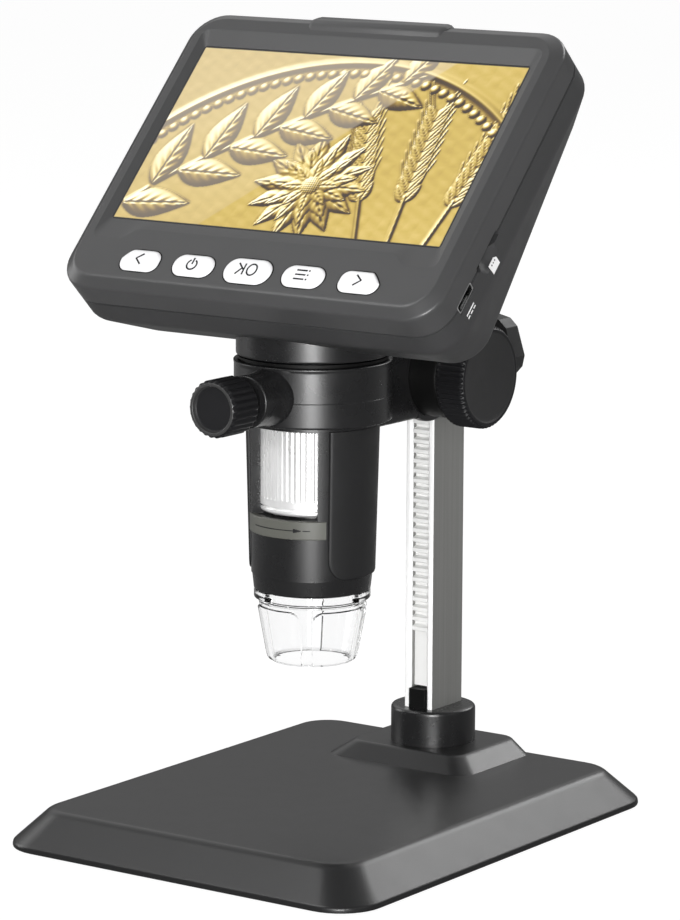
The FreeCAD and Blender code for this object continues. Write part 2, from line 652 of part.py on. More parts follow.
def front_bezel():
    """Front of the display housing: sloping frame round the screen and the button row."""
    skin = lofted(outline(-52.0, 52.0, -44.9, 35.3, 7.5, FRONT_FACE), shell_outline(0, -0.9),
                  shell_outline(0, PARTING))
    tab = slab(-20, 20, 33.0, 36.6, 1.2, -3.0, FRONT_FACE)
    tab = joined([tab, slab(-20, 20, 33.0, 39.05, 1.2, -6.0, -0.9)])
    hollow = shell_outline(WALL, PARTING)
    hollow = Part.Face(hollow).extrude(vec(0, 0, WALL_BACK - PARTING))
    slopes = lofted(outline(-GLASS_HALF_X, GLASS_HALF_X, -GLASS_HALF_Y, GLASS_HALF_Y, 0.8, 0.05),
                    outline(-49.8, 49.8, -33.7, 31.8, 2.4, FRONT_FACE + 0.002))
    plateau = slab(-38.2, 38.2, -40, -30.6, 2.0, 0, 2)
    opening = slab(-GLASS_HALF_X, GLASS_HALF_X, -GLASS_HALF_Y, GLASS_HALF_Y, 0.8, WALL_BACK - 1, 2)
    bosses = [cyl(2.3, BOARD_FRONT, WALL_BACK, x, v) for x, v in housing_screw_places()]
    pilots = [cyl(1.0, BOARD_FRONT, WALL_BACK, x, v) for x, v in housing_screw_places()]
    tools = [less(hollow, bosses), less(slopes, [plateau]), opening] + pilots + side_openings()
    tools += [button_cut(*size, GAP) for size in BUTTONS.values()]
    return on_screen(less(joined([skin, tab]), tools))


def housing_screw_places():
    return [(side * SCREW_X, v) for side in (-1, 1) for v in SCREW_V]


def rear_shell():
    """Back of the display housing, a wedge that is deepest over the barrel."""
    skin = lofted(shell_outline(0, PARTING), shell_outline(0, SIDE_END),
                  outline(-50, 50, -38.3, 33.9, 8.0, BACK_LEVEL, BACK_TILT))
    hollow = lofted(shell_outline(WALL, PARTING), shell_outline(WALL, SIDE_END + 0.6),
                    outline(-47.8, 47.8, -36.2, 31.8, 6.0, INNER_BACK, BACK_TILT))
    posts = [cyl(3.4, -30, BOARD_BACK, x, v) for x, v in housing_screw_places()]
    recesses = [cyl(2.5, -30, SCREW_SEAT, x, v) for x, v in housing_screw_places()]
    shanks = [cyl(1.3, SCREW_SEAT, BOARD_BACK, x, v) for x, v in housing_screw_places()]
    above_parting = box(-60, 60, -60, 60, PARTING, 10)
    tools = [less(hollow, posts)] + recesses + shanks + [above_parting] + side_openings()
    shell = on_screen(less(skin, tools))
    return less(shell, [cyl(UPPER_R, 100, 175, 0, BARREL_Y)])


def screen_glass():
    return on_screen(slab(-GLASS_HALF_X, GLASS_HALF_X, -GLASS_HALF_Y, GLASS_HALF_Y, 0.8, WALL_BACK, -0.05))


def lcd_panel():
    return on_screen(slab(-51.5, 51.5, -31.0, 31.0, 1.0, WALL_BACK - 2.4, WALL_BACK))


def main_board():
    board = slab(-50, 50, -44.4, 35.2, 2.0, BOARD_BACK, BOARD_FRONT)
    holes = [cyl(1.3, BOARD_BACK, BOARD_FRONT, x, v) for x, v in housing_screw_places()]
    return on_screen(less(board, holes))


def battery():
    return on_screen(slab(-32, 32, -6, 30, 2.0, BOARD_BACK - 5.2, BOARD_BACK))


def tact_switches():
    switches = []
    for centre, _, _, _ in BUTTONS.values():
        body = box(centre - 2.2, centre + 2.2, BUTTON_V - 2.2, BUTTON_V + 2.2, BOARD_FRONT, BOARD_FRONT + 0.9)
        plunger = cyl(1.0, BOARD_FRONT + 0.9, BOARD_FRONT + 1.2, centre, BUTTON_V)
        switches.append(on_screen(joined([body, plunger])))
    return Part.makeCompound(switches)


def side_box(v_span, x0, x1, z0, z1, radius, wall):
    """Open-ended socket shell along x, with a solid back."""
    outer = slab(v_span[0], v_span[1], z0, z1, radius, 0, x1 - x0)
    inner = slab(v_span[0] + wall, v_span[1] - wall, z0 + wall, z1 - wall, radius / 2, 2.0, x1 - x0)
    shell = less(outer, [inner])
    shell.Placement = FreeCAD.Placement(vec(x0, 0, 0), FreeCAD.Rotation(vec(1, 1, 1), 120))
    return shell


def usb_port():
    """Power and data socket, with the tongue inside."""
    socket = side_box(USB_V, 46.6, 54.4, -9.2, BOARD_BACK, 0.9, 0.4)
    tongue = box(48, 53.2, USB_V[0] + 2, USB_V[1] - 2, -8.1, -7.7)
    return on_screen(joined([socket, tongue]))


def card_socket():
    return on_screen(side_box(CARD_V, 38.0, 53.4, -8.2, BOARD_BACK, 0.2, 0.3))


def housing_screws():
    screws = []
    for x, v in housing_screw_places():
        head = cyl(2.2, SCREW_SEAT - 1.4, SCREW_SEAT, x, v)
        drive = joined([box(x - 1.3, x + 1.3, v - 0.3, v + 0.3, SCREW_SEAT - 1.5, SCREW_SEAT - 0.7),
                        box(x - 0.3, x + 0.3, v - 1.3, v + 1.3, SCREW_SEAT - 1.5, SCREW_SEAT - 0.7)])
        shank = cyl(1.0, SCREW_SEAT, WALL_BACK - 0.5, x, v)
        screws.append(on_screen(less(joined([head, shank]), [drive])))
    return Part.makeCompound(screws)


def button(centre, width, height, radius):
    """Moulded key: domed cap, flange behind the bezel and a stem to its switch."""
    x0, x1 = centre - width / 2, centre + width / 2
    y0, y1 = BUTTON_V - height / 2, BUTTON_V + height / 2
    cap = lofted(outline(x0, x1, y0, y1, radius, WALL_BACK - 0.3), outline(x0, x1, y0, y1, radius, BUTTON_TOP - 0.4),
                 outline(x0 + 0.5, x1 - 0.5, y0 + 0.5, y1 - 0.5, radius - 0.5, BUTTON_TOP))
    flange = slab(x0 - 0.8, x1 + 0.8, y0 - 0.8, y1 + 0.8, radius + 0.8, WALL_BACK - 1.0, WALL_BACK - 0.3)
    stem = cyl(1.2, BOARD_FRONT + 1.2 + 0.75, WALL_BACK - 1.0, centre, BUTTON_V)
    return on_screen(joined([cap, flange, stem]))


def dimmer_pot():
    body = cyl(2.2, -8.1, BOARD_BACK, DIMMER_U + 1.0, DIMMER_V)
    pin = cyl(1.0, -11.0, -8.1, DIMMER_U, DIMMER_V)
    foot = box(DIMMER_U + 1.0, DIMMER_U + 6, DIMMER_V - 2.1, DIMMER_V + 2.1, -8.0, BOARD_BACK)
    return on_screen(joined([body, foot, pin]))


def dimmer_wheel():
    """Thumb wheel that dims the lamps, at the housing's left edge."""
    wheel = ridged(DIMMER_R, 0.3, 28, -10.8, -8.4)
    wheel.translate(vec(DIMMER_U, DIMMER_V, 0))
    return on_screen(less(wheel, [cyl(1.0 + RUNNING, -11, -8, DIMMER_U, DIMMER_V)]))


def nodes():
    """Every sub-part by name."""
    parts = {
        "base_cover": base_cover(),
        "base_plate": base_plate(),
        "base_mat": base_mat(),
        "plate_screws": plate_screws(),
        "column_bolt": column_bolt(),
        "column_socket": column_socket(),
        "socket_clip": socket_clip(),
        "column": column(),
        "rack": rack(),
        "column_cap": column_cap(),
        "bracket": bracket(),
        "gib_pad": gib_pad(),
        "bearing_cap_right": bearing_cap(False),
        "bearing_cap_left": bearing_cap(True),
        "pinion_shaft": pinion_shaft(),
        "focus_knob_right": focus_knob(False),
        "focus_knob_left": focus_knob(True),
        "lock_knob": lock_knob(),
        "lock_screw": lock_screw(),
        "thumb_knob": thumb_knob(),
        "thumb_screw": thumb_screw(),
        "collar_liner": collar_liner(),
        "barrel_shell": barrel_shell(),
        "side_grip_right": side_grip(1),
        "side_grip_left": side_grip(-1),
        "arrow_plate": arrow_band(),
        "nose_ring": nose_ring(),
        "guide_tube": guide_tube(),
        "focus_wheel": focus_wheel(),
        "lens_carrier": lens_carrier(),
        "lens": lens(),
        "sensor_board": sensor_board(),
        "image_sensor": image_sensor(),
        "led_board": led_board(),
        "leds": leds(),
        "objective_window": objective_window(),
        "hood": hood(),
        "front_bezel": front_bezel(),
        "rear_shell": rear_shell(),
        "screen_glass": screen_glass(),
        "lcd_panel": lcd_panel(),
        "main_board": main_board(),
        "battery": battery(),
        "tact_switches": tact_switches(),
        "usb_port": usb_port(),
        "card_socket": card_socket(),
        "housing_screws": housing_screws(),
        "dimmer_pot": dimmer_pot(),
        "dimmer_wheel": dimmer_wheel(),
    }
    for name, size in BUTTONS.items():
        parts[name] = button(*size)
    return parts


def main():
    os.makedirs("parts", exist_ok=True)
    for name, shape in nodes().items():
        shape.exportStep("parts/" + name + ".step")
        print(name, len(shape.Solids), round(shape.Volume, 1), shape.isValid())


main()
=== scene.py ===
"""Studio scene of a desktop digital microscope with a tilted display on a rack-and-pinion stand.

Sizes in the classes are millimetres in the row frame (+Z up, -Y towards the user); meshes are
written in metres. The display housing is drawn in its own flat frame, u across the screen, v up
the screen and w out of it, and then tilted into place.
"""
import logging
import math
from dataclasses import dataclass, field
from enum import Enum
from functools import cache

import bpy
import numpy as np
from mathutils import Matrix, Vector


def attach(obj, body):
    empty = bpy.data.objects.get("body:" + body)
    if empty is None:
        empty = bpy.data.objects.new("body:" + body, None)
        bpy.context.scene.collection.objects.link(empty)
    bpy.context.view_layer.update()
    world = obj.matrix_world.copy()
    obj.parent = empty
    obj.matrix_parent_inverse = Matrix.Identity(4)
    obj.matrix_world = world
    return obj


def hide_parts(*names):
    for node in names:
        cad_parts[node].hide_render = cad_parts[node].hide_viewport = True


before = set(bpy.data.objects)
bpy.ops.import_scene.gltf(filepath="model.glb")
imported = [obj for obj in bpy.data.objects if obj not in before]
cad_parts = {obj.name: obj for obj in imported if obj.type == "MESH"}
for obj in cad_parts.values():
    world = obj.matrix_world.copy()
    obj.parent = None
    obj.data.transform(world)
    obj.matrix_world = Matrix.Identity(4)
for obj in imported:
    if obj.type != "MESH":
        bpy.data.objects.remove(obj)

LOG = logging.getLogger("microscope")
MM = 0.001
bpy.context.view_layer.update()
EVEN = np.linspace(0, 1, 9)[1:-1]
SUPPORT_REACH = 1.3
SIDES = ((1, "right"), (-1, "left"))

Piece = bpy.types.Object
Socket = bpy.types.NodeSocket
Tree = bpy.types.NodeTree
Pair = tuple[float, float]
Triple = tuple[float, float, float]
Flutes = tuple[int, float, float]


class Body(Enum):
    """Rigid bodies of the record that pieces ride on."""

    STAND = "stand"
    CARRIAGE = "carriage"
    FOCUS_SHAFT = "focus_shaft"
    LOCK = "carriage_lock"
    CLAMP = "barrel_clamp"
    MICROSCOPE = "microscope"
    FOCUS_RING = "focus_ring"
    HOOD = "clear_hood"
    KEY_LEFT = "key_left"
    KEY_POWER = "key_power"
    KEY_OK = "key_ok"
    KEY_MENU = "key_menu"
    KEY_RIGHT = "key_right"


# Surfaces
def eased(corners: np.ndarray | list, radii: list[float], steps: int = 5) -> np.ndarray:
    """Round the corners of an open path in any number of dimensions.

    A corner P with radius r becomes the quadratic curve (1-s)^2 A + 2s(1-s) P + s^2 B from r
    before P to r after it. A support point further along each long side keeps that side flat
    under smooth shading.

    Args:
        corners: (n, d) path corners.
        radii: easing length at each corner; 0 keeps the corner sharp.
        steps: pieces in each rounded corner.

    Returns:
        (m, d) points of the eased path.
    """
    corners = np.asarray(corners, float)
    run = [corners[:1]]
    s = np.linspace(0, 1, steps + 1)[:, None]
    for before, here, after, radius in zip(corners[:-2], corners[1:-1], corners[2:], radii[1:-1]):
        if radius <= 0:
            run.append(here[None])
            continue
        legs = [(leg / np.linalg.norm(leg), np.linalg.norm(leg)) for leg in (before - here, after - here)]
        start, end = (here + way * min(radius, 0.49 * long) for way, long in legs)
        curve = (1 - s) ** 2 * start + 2 * s * (1 - s) * here + s**2 * end
        reach = SUPPORT_REACH * radius
        supports = [(here + way * reach)[None] if long > 2 * reach else curve[:0] for way, long in legs]
        run += [supports[0], curve, supports[1]]
    run.append(corners[-1:])
    return np.vstack(run)


def rounded_ring(x0: float, x1: float, y0: float, y1: float, radius: float, along: np.ndarray = EVEN,
                 up: np.ndarray = EVEN, corner_steps: int = 9) -> np.ndarray:
    """Points of a rounded rectangle, anticlockwise, with chosen stations on its sides.

    Args:
        x0, x1, y0, y1: its sides.
        radius: corner radius.
        along: fractions of the way along the bottom and top sides.
        up: fractions of the way up the right and left sides.
        corner_steps: pieces in each corner arc.

    Returns:
        (m, 2) points.
    """
    turn = np.linspace(0, math.pi / 2, corner_steps + 1)
    centres = [(x1 - radius, y0 + radius, -math.pi / 2), (x1 - radius, y1 - radius, 0.0),
               (x0 + radius, y1 - radius, math.pi / 2), (x0 + radius, y0 + radius, math.pi)]
    arcs = [np.stack([cx + radius * np.cos(turn + a), cy + radius * np.sin(turn + a)], 1)
            for cx, cy, a in centres]
    right = np.stack([np.full(up.shape, x1), y0 + radius + up * (y1 - y0 - 2 * radius)], 1)
    left = np.stack([np.full(up.shape, x0), right[::-1, 1]], 1)
    bottom = np.stack([x0 + radius + along * (x1 - x0 - 2 * radius), np.full(along.shape, y0)], 1)
    top = np.stack([bottom[::-1, 0], np.full(along.shape, y1)], 1)
    return np.vstack([arcs[0], right, arcs[1], top, arcs[2], left, arcs[3], bottom])


def levelled(flat: np.ndarray, level: float) -> np.ndarray:
    """Flat points at one level along the third axis."""
    return np.column_stack([flat, np.full(len(flat), level)])


def skin_faces(rows: int, cols: int, wrap: bool = True) -> np.ndarray:
    """Quads of a grid of rows by cols points, closed round its columns when wrap is true."""
    r = np.arange(rows - 1)[:, None]
    c = np.arange(cols if wrap else cols - 1)[None, :]
    near, far = r * cols + c, r * cols + (c + 1) % cols
    return np.stack([near, far, far + cols, near + cols], -1).reshape(-1, 4)


def make_mesh(name: str, points: np.ndarray, faces: list[np.ndarray], sharp: float = 35.0) -> Piece:
    """Write points in millimetres and faces into a new smooth-shaded object.

    Args:
        name: piece name.
        points: (n, 3) points.
        faces: arrays of faces, one array for each number of sides.
        sharp: edges that turn by more than this many degrees stay crisp.

    Returns:
        The new object, at the origin.
    """
    mesh = bpy.data.meshes.new(name)
    mesh.vertices.add(len(points))
    mesh.vertices.foreach_set("co", (np.asarray(points, float) * MM).ravel())
    loops = np.concatenate([f.ravel() for f in faces])
    sides = np.concatenate([np.full(len(f), f.shape[1]) for f in faces])
    mesh.loops.add(len(loops))
    mesh.loops.foreach_set("vertex_index", loops.astype(np.int32))
    mesh.polygons.add(len(sides))
    mesh.polygons.foreach_set("loop_start", np.concatenate([[0], np.cumsum(sides)[:-1]]).astype(np.int32))
    mesh.polygons.foreach_set("use_smooth", np.ones(len(sides), bool))
    mesh.update(calc_edges=True)
    mesh.validate()
    mesh.set_sharp_from_angle(angle=math.radians(sharp))
    piece = bpy.data.objects.new(name, mesh)
    bpy.context.scene.collection.objects.link(piece)
    return piece


def stacked(name: str, rings: np.ndarray, sharp: float = 35.0, end_lift: float = 0.0) -> Piece:
    """Closed skin through a stack of rings, each end closed by a fan to its middle.

    Args:
        name: piece name.
        rings: (rows, cols, 3) points, anticlockwise seen from the end the stack grows to.
        sharp: angle kept crisp, in degrees.
        end_lift: how far the last end's middle stands beyond its rim, along the stack.

    Returns:
        The new object.
    """
    rows, cols = rings.shape[:2]
    first, last = rings[0].mean(0), rings[-1].mean(0)
    way = (last - first) / np.linalg.norm(last - first)
    points = np.vstack([rings.reshape(-1, 3), first, last + way * end_lift])
    here = np.arange(cols)
    ahead = (here + 1) % cols
    low_fan = np.stack([ahead, here, np.full(cols, rows * cols)], 1)
    end = (rows - 1) * cols
    high_fan = np.stack([end + here, end + ahead, np.full(cols, rows * cols + 1)], 1)
    return make_mesh(name, points, [skin_faces(rows, cols), np.vstack([low_fan, high_fan])], sharp)


def end_filled(name: str, rings: np.ndarray) -> Piece:
    """Skin through rings whose two ends are each one flat face."""
    rows, cols = rings.shape[:2]
    ends = np.stack([np.arange(cols)[::-1], (rows - 1) * cols + np.arange(cols)])
    return make_mesh(name, rings.reshape(-1, 3), [skin_faces(rows, cols), ends], 40.0)


def looped(name: str, rings: np.ndarray, sharp: float = 35.0) -> Piece:
    """Skin through rings whose last ring lies on the first, as round a bore."""
    return make_mesh(name, rings.reshape(-1, 3), [skin_faces(*rings.shape[:2])], sharp)


def turned(profile: np.ndarray, steps: int = 96) -> np.ndarray:
    """Rings of a surface of revolution about +Z: (r cos a, r sin a, z) for each profile point.

    Args:
        profile: (n, 2) radius and height.
        steps: points round each ring.

    Returns:
        (n, steps, 3) rings.
    """
    angle = np.linspace(0, 2 * math.pi, steps, endpoint=False)
    r, z = profile[:, :1], profile[:, 1:]
    return np.stack([r * np.cos(angle), r * np.sin(angle), z + 0 * angle], -1)


def fluted(rings: np.ndarray, flutes: Flutes, share: np.ndarray) -> np.ndarray:
    """Cut grip flutes into turned rings, which are drawn in by depth |sin(count a / 2)|^power.

    Args:
        rings: rings from turned.
        flutes: count, depth and power; a power above 1 makes the ridges broad and the flutes narrow.
        share: share of the depth that each ring gets.

    Returns:
        The same rings.
    """
    count, depth, power = flutes
    angle = np.linspace(0, 2 * math.pi, rings.shape[1], endpoint=False)
    drop = depth * np.abs(np.sin(count * angle / 2))[None, :] ** power * share[:, None]
    rings[..., 0] -= drop * np.cos(angle)
    rings[..., 1] -= drop * np.sin(angle)
    return rings


def aimed(points: np.ndarray, foot: Triple, axis: str) -> np.ndarray:
    """Turn points drawn about +Z so that +Z becomes the named axis, and move them to foot.

    Args:
        points: (..., 3) points.
        foot: where the drawing's origin goes.
        axis: one of +x, -x, +y, -y, +z.

    Returns:
        The placed points.
    """
    x, y, z = points[..., 0], points[..., 1], points[..., 2]
    turn = {"+x": (z, x, y), "-x": (-z, -x, y), "+y": (-x, z, y), "-y": (x, -z, y), "+z": (x, y, z)}
    return np.stack(turn[axis], -1) + np.array(foot)


def smooth_step(value: np.ndarray, low: float, high: float) -> np.ndarray:
    """0 below low, 1 above high, and 3t^2 - 2t^3 between them."""
    t = np.clip((value - low) / (high - low), 0, 1)
    return t * t * (3 - 2 * t)


# Node trees
def wired(tree: Tree, kind: str, output: str | int, inputs: dict[str | int, object],
          **settings: object) -> Socket:
    """Add a node to a tree.

    Args:
        tree: node tree of a material or the world.
        kind: the node's type, without the word ShaderNode.
        output: which output is wanted.
        inputs: a socket or a constant for each input, by name or number.
        settings: properties of the node.

    Returns:
        The wanted output.
    """
    node = tree.nodes.new("ShaderNode" + kind)
    for key, value in settings.items():
        setattr(node, key, value)
    for key, value in inputs.items():
        if isinstance(value, Socket):
            tree.links.new(value, node.inputs[key])
        else:
            node.inputs[key].default_value = value
    return node.outputs[output]


def ranged(tree: Tree, value: Socket, span: Pair, levels: Pair, curve: str = "LINEAR") -> Socket:
    """Map a span of a value to a pair of levels, held at both ends."""
    ends = {"From Min": span[0], "From Max": span[1], "To Min": levels[0], "To Max": levels[1]}
    return wired(tree, "MapRange", "Result", {"Value": value, **ends}, interpolation_type=curve)


def reckoned(tree: Tree, operation: str, *values: Socket | float) -> Socket:
    """Math node fed by sockets or plain numbers."""
    return wired(tree, "Math", 0, dict(enumerate(values)), operation=operation)


class Recipe:
    """A material's node tree while it is being put together."""

    def __init__(self, name: str) -> None:
        """Start a material that holds one Principled shader."""
        self.material = bpy.data.materials.new(name)
        self.material.use_nodes = True
        self.tree = self.material.node_tree
        self.shader = next(n for n in self.tree.nodes if n.type == "BSDF_PRINCIPLED")
        self.coords = wired(self.tree, "TexCoord", "Object", {})

    def set(self, **values: object) -> None:
        """Give the shader's inputs constants or sockets; _ in a keyword stands for a space."""
        for key, value in values.items():
            socket = self.shader.inputs[key.replace("_", " ")]
            if isinstance(value, Socket):
                self.tree.links.new(value, socket)
            else:
                socket.default_value = value

    def stretched(self, scale: Triple) -> Socket:
        """Object coordinates multiplied by a scale along each axis."""
        return wired(self.tree, "Mapping", "Vector", {"Scale": scale, "Vector": self.coords})

    def noise(self, scale: float, detail: float = 4.0, rough: float = 0.55,
              source: Socket | None = None) -> Socket:
        """Noise in 0..1 on the piece's own coordinates; scale is cycles a metre."""
        return wired(self.tree, "TexNoise", "Fac", {"Scale": scale, "Detail": detail, "Roughness": rough,
                                                    "Vector": source or self.coords})

    def spread(self, pattern: Socket, low: float, high: float, span: Pair = (0.3, 0.7)) -> Socket:
        """Map a 0..1 pattern to a range of numbers."""
        return ranged(self.tree, pattern, span, (low, high))

    def tinted(self, value: Socket, low: float, dark: Triple, high: float, light: Triple) -> Socket:
        """Colour ramp from dark at low to light at high, in linear colours."""
        ramp = self.tree.nodes.new("ShaderNodeValToRGB")
        for element, place, colour in zip(ramp.color_ramp.elements, (low, high), (dark, light)):
            element.position = place
            element.color = (*colour, 1.0)
        self.tree.links.new(value, ramp.inputs["Fac"])
        return ramp.outputs["Color"]

    def bump(self, height: Socket, depth: float, strength: float = 0.5) -> None:
        """Raise a pattern by depth metres on the shader's normal."""
        self.set(Normal=wired(self.tree, "Bump", "Normal",
                              {"Distance": depth, "Strength": strength, "Height": height}))


def scaled(tone: Triple, factor: float) -> Triple:
    """A tone made lighter or darker, never above 1."""
    return tuple(min(1.0, c * factor) for c in tone)


def grey(level: float) -> Triple:
    """Neutral tone of one level."""
    return level, level, level


# Finishes
@dataclass(frozen=True)
class Moulding:
    """Moulded or painted surface: fine grain and slow mottling."""

    name: str
    tone: Triple
    rough: float
    gloss: float
    grain: float = 2600.0
    depth: float = 0.00002
    mottle: float = 0.04
    coat: float = 0.0
    vary: float = 0.05

    def make(self) -> bpy.types.Material:
        """Material with grain as bump, and mottling in its colour and roughness."""
        recipe = Recipe(self.name)
        light, dark = scaled(self.tone, 1 + self.mottle), scaled(self.tone, 1 - self.mottle)
        recipe.set(Base_Color=recipe.tinted(recipe.noise(38.0, 3.0), 0.3, dark, 0.7, light),
                   Roughness=recipe.spread(recipe.noise(160.0, 5.0), self.rough - self.vary,
                                           self.rough + self.vary),
                   Specular_IOR_Level=self.gloss, Coat_Weight=self.coat, Coat_Roughness=0.08)
        recipe.bump(recipe.noise(self.grain, 2.0, 0.6), self.depth)
        return recipe.material


@dataclass(frozen=True)
class BareMetal:
    """Metal with drawn or turned lines; lines holds their cycles a metre along each axis."""

    name: str
    tone: Triple
    rough: float
    lines: Triple = (900.0, 900.0, 12.0)
    metal: float = 1.0
    depth: float = 0.00002

    def make(self) -> bpy.types.Material:
        """Material whose drawn lines shape its colour, roughness and bump."""
        recipe = Recipe(self.name)
        drawn = recipe.noise(1.0, 6.0, 0.65, recipe.stretched(self.lines))
        light, dark = scaled(self.tone, 1.1), scaled(self.tone, 0.86)
        recipe.set(Base_Color=recipe.tinted(drawn, 0.32, dark, 0.68, light),
                   Roughness=recipe.spread(drawn, self.rough - 0.07, self.rough + 0.09), Metallic=self.metal)
        recipe.bump(drawn, self.depth, 0.35)
        return recipe.material


@dataclass(frozen=True)
class ClearMoulding:
    """Clear glass or polycarbonate with faint flow marks."""

    name: str
    tone: Triple = (0.975, 0.976, 0.977)
    ior: float = 1.40
    rough: float = 0.02

    def make(self) -> bpy.types.Material:
        """Clear material with flow marks in its tint, roughness and bump."""
        recipe = Recipe(self.name)
        flow = recipe.noise(1.0, 2.0, 0.5, recipe.stretched((60.0, 60.0, 18.0)))
        recipe.set(Base_Color=recipe.tinted(flow, 0.35, scaled(self.tone, 0.99), 0.65, self.tone),
                   Roughness=recipe.spread(flow, self.rough, self.rough + 0.03), Transmission_Weight=1.0,
                   IOR=self.ior)
        recipe.bump(flow, 0.00003, 0.25)
        return recipe.material


@dataclass(frozen=True)
class CircuitLacquer:
    """Board lacquer over a net of copper tracks."""

    name: str
    tone: Triple = (0.012, 0.075, 0.03)
    track: Triple = (0.03, 0.16, 0.07)

    def make(self) -> bpy.types.Material:
        """Lacquer whose tracks are the edges of square cells."""
        recipe = Recipe(self.name)
        cells = wired(recipe.tree, "TexVoronoi", "Distance", {"Scale": 420.0, "Vector": recipe.coords},
                      distance="MANHATTAN", feature="F1")
        tracks = recipe.spread(cells, 0.0, 1.0, (0.42, 0.5))
        recipe.set(Base_Color=recipe.tinted(tracks, 0.0, self.tone, 1.0, self.track),
                   Roughness=recipe.spread(recipe.noise(240.0), 0.28, 0.42))
        recipe.bump(tracks, 0.00003)
        return recipe.material


@dataclass(frozen=True)
class LivePicture:
    """Lit picture under the glossy screen cover; its colours are the piece's own attribute."""

    name: str
    attribute: str
    glow: float = 0.30

    def make(self) -> bpy.types.Material:
        """Material that shows and faintly shines the attribute's colours under a clear coat."""
        recipe = Recipe(self.name)
        picture = wired(recipe.tree, "Attribute", "Color", {}, attribute_name=self.attribute)
        recipe.set(Base_Color=picture, Emission_Color=picture, Emission_Strength=self.glow,
                   Roughness=recipe.spread(recipe.noise(90.0), 0.10, 0.14), Specular_IOR_Level=0.5,
                   Coat_Weight=1.0, Coat_Roughness=0.02)
        return recipe.material


class Finish(Enum):
    """Every finish on the object."""

    CASE = Moulding("case_charcoal", (0.052, 0.052, 0.053), 0.34, 0.50, 2400.0, mottle=0.03, vary=0.03)
    CASE_BACK = Moulding("case_back_charcoal", (0.040, 0.040, 0.041), 0.45, 0.35, 2400.0, vary=0.03)
    BARREL = Moulding("barrel_satin_black", (0.012, 0.012, 0.0125), 0.28, 0.50, 3200.0)
    GRIP = Moulding("grip_matt_black", (0.014, 0.014, 0.0145), 0.48, 0.35, 3000.0, 0.00003)
    KNOB = Moulding("knob_black", (0.010, 0.010, 0.011), 0.42, 0.30, 2800.0, 0.00003, 0.10)
    DISH = Moulding("knob_face_black", (0.022, 0.022, 0.0225), 0.46, 0.30, 2600.0, 0.00003, 0.06)
    RIM = Moulding("knob_rim_grey", grey(0.034), 0.36, 0.50, depth=0.00001)
    HUB = Moulding("hub_deep_black", grey(0.004), 0.50, 0.15, mottle=0.10)
    BASE = Moulding("base_satin_paint", (0.013, 0.013, 0.0134), 0.31, 0.45, 5200.0, 0.00004, 0.015, vary=0.012)
    OLIVE = Moulding("arrow_band_olive", (0.095, 0.096, 0.084), 0.40, 0.35, 3000.0, 0.00003, 0.10)
    MARK_BLACK = Moulding("mark_black", (0.010, 0.010, 0.011), 0.55, 0.20, 2600.0, 0.00001, 0.05)
    MARK_WHITE = Moulding("mark_white", grey(0.80), 0.55, 0.30, 2600.0, 0.00001, 0.03)
    KEY = Moulding("key_white", (0.84, 0.84, 0.85), 0.26, 0.50, 2200.0, 0.00001, 0.02, coat=0.3)
    RUBBER = Moulding("sheet_rubber", grey(0.014), 0.75, 0.20, 900.0, 0.00012, 0.15)
    NYLON = Moulding("rack_nylon", (0.78, 0.78, 0.77), 0.36, 0.50, 1800.0, 0.00003, 0.06)
    LAMP_BOARD = Moulding("lamp_board_white", grey(0.70), 0.45, 0.40, 1500.0, mottle=0.05)
    CHIP = Moulding("chip_black", (0.02, 0.02, 0.024), 0.30, 0.50, 1500.0, mottle=0.10)
    BOARD = CircuitLacquer("board_green")
    FOIL = BareMetal("pouch_foil", (0.50, 0.52, 0.55), 0.42, (300.0, 300.0, 300.0))
    COLUMN = BareMetal("column_anodised", (0.26, 0.26, 0.25), 0.50, (2200.0, 2200.0, 10.0), 0.5, 0.000004)
    # Near-white finish for the column's front faces: a painted highlight on the lips.
    COLUMN_PAINTED_HIGHLIGHT = BareMetal("column_painted_highlight", (0.94, 0.94, 0.93), 0.35, (2200.0, 2200.0, 10.0), 0.05,
                            0.000004)
    WHEEL = BareMetal("wheel_bright", (0.92, 0.92, 0.91), 0.28, (90.0, 90.0, 20.0), 0.55, 0.000001)
    STEEL = BareMetal("plated_steel", (0.52, 0.52, 0.53), 0.32, (600.0, 600.0, 600.0))
    # Black screws; on the card socket the same dark tone paints the shade inside the card slot.
    DARK_STEEL_AND_SLOT_SHADE = BareMetal("black_screw_and_slot_shade", (0.06, 0.06, 0.065), 0.35, (600.0, 600.0, 600.0))
    CHROME = BareMetal("socket_plate", grey(0.82), 0.16, (500.0, 500.0, 500.0))
    TUBE = BareMetal("tube_black_anodised", (0.03, 0.03, 0.032), 0.40)
    CLEAR = ClearMoulding("clear_hood")
    LENS = ClearMoulding("coated_glass", (0.93, 0.96, 0.98), 1.5, 0.0)
    PICTURE = LivePicture("screen_picture", "picture")


@cache
def finish_of(choice: Finish) -> bpy.types.Material:
    """The one material for a finish, made when it is first asked for."""
    return choice.value.make()


def fit(piece: Piece, body: Body, finish: Finish, slot: str, *replaced: str) -> Piece:
    """Dress a new piece and hang it on its body.

    Args:
        piece: the new object.
        body: body it rides on.
        finish: its finish.
        slot: the record's material slot it belongs to; not used.
        replaced: CAD nodes it stands for.

    Returns:
        The same piece.
    """
    piece.data.materials.append(finish_of(finish))
    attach(piece, body.value)
    if replaced:
        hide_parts(*replaced)
    LOG.info("%s on %s, %d faces", piece.name, body.value, len(piece.data.polygons))
    return piece


def face_values(piece: Piece, key: str) -> np.ndarray:
    """Centre in metres ("center") or normal ("normal") of every face, one row a face."""
    values = np.empty(len(piece.data.polygons) * 3)
    piece.data.polygons.foreach_get(key, values)
    return values.reshape(-1, 3)


def refinish(piece: Piece, finish: Finish, chosen: np.ndarray) -> None:
    """Give the chosen faces of a piece a second finish."""
    piece.data.materials.append(finish_of(finish))
    piece.data.polygons.foreach_set("material_index", chosen.astype(np.int32))


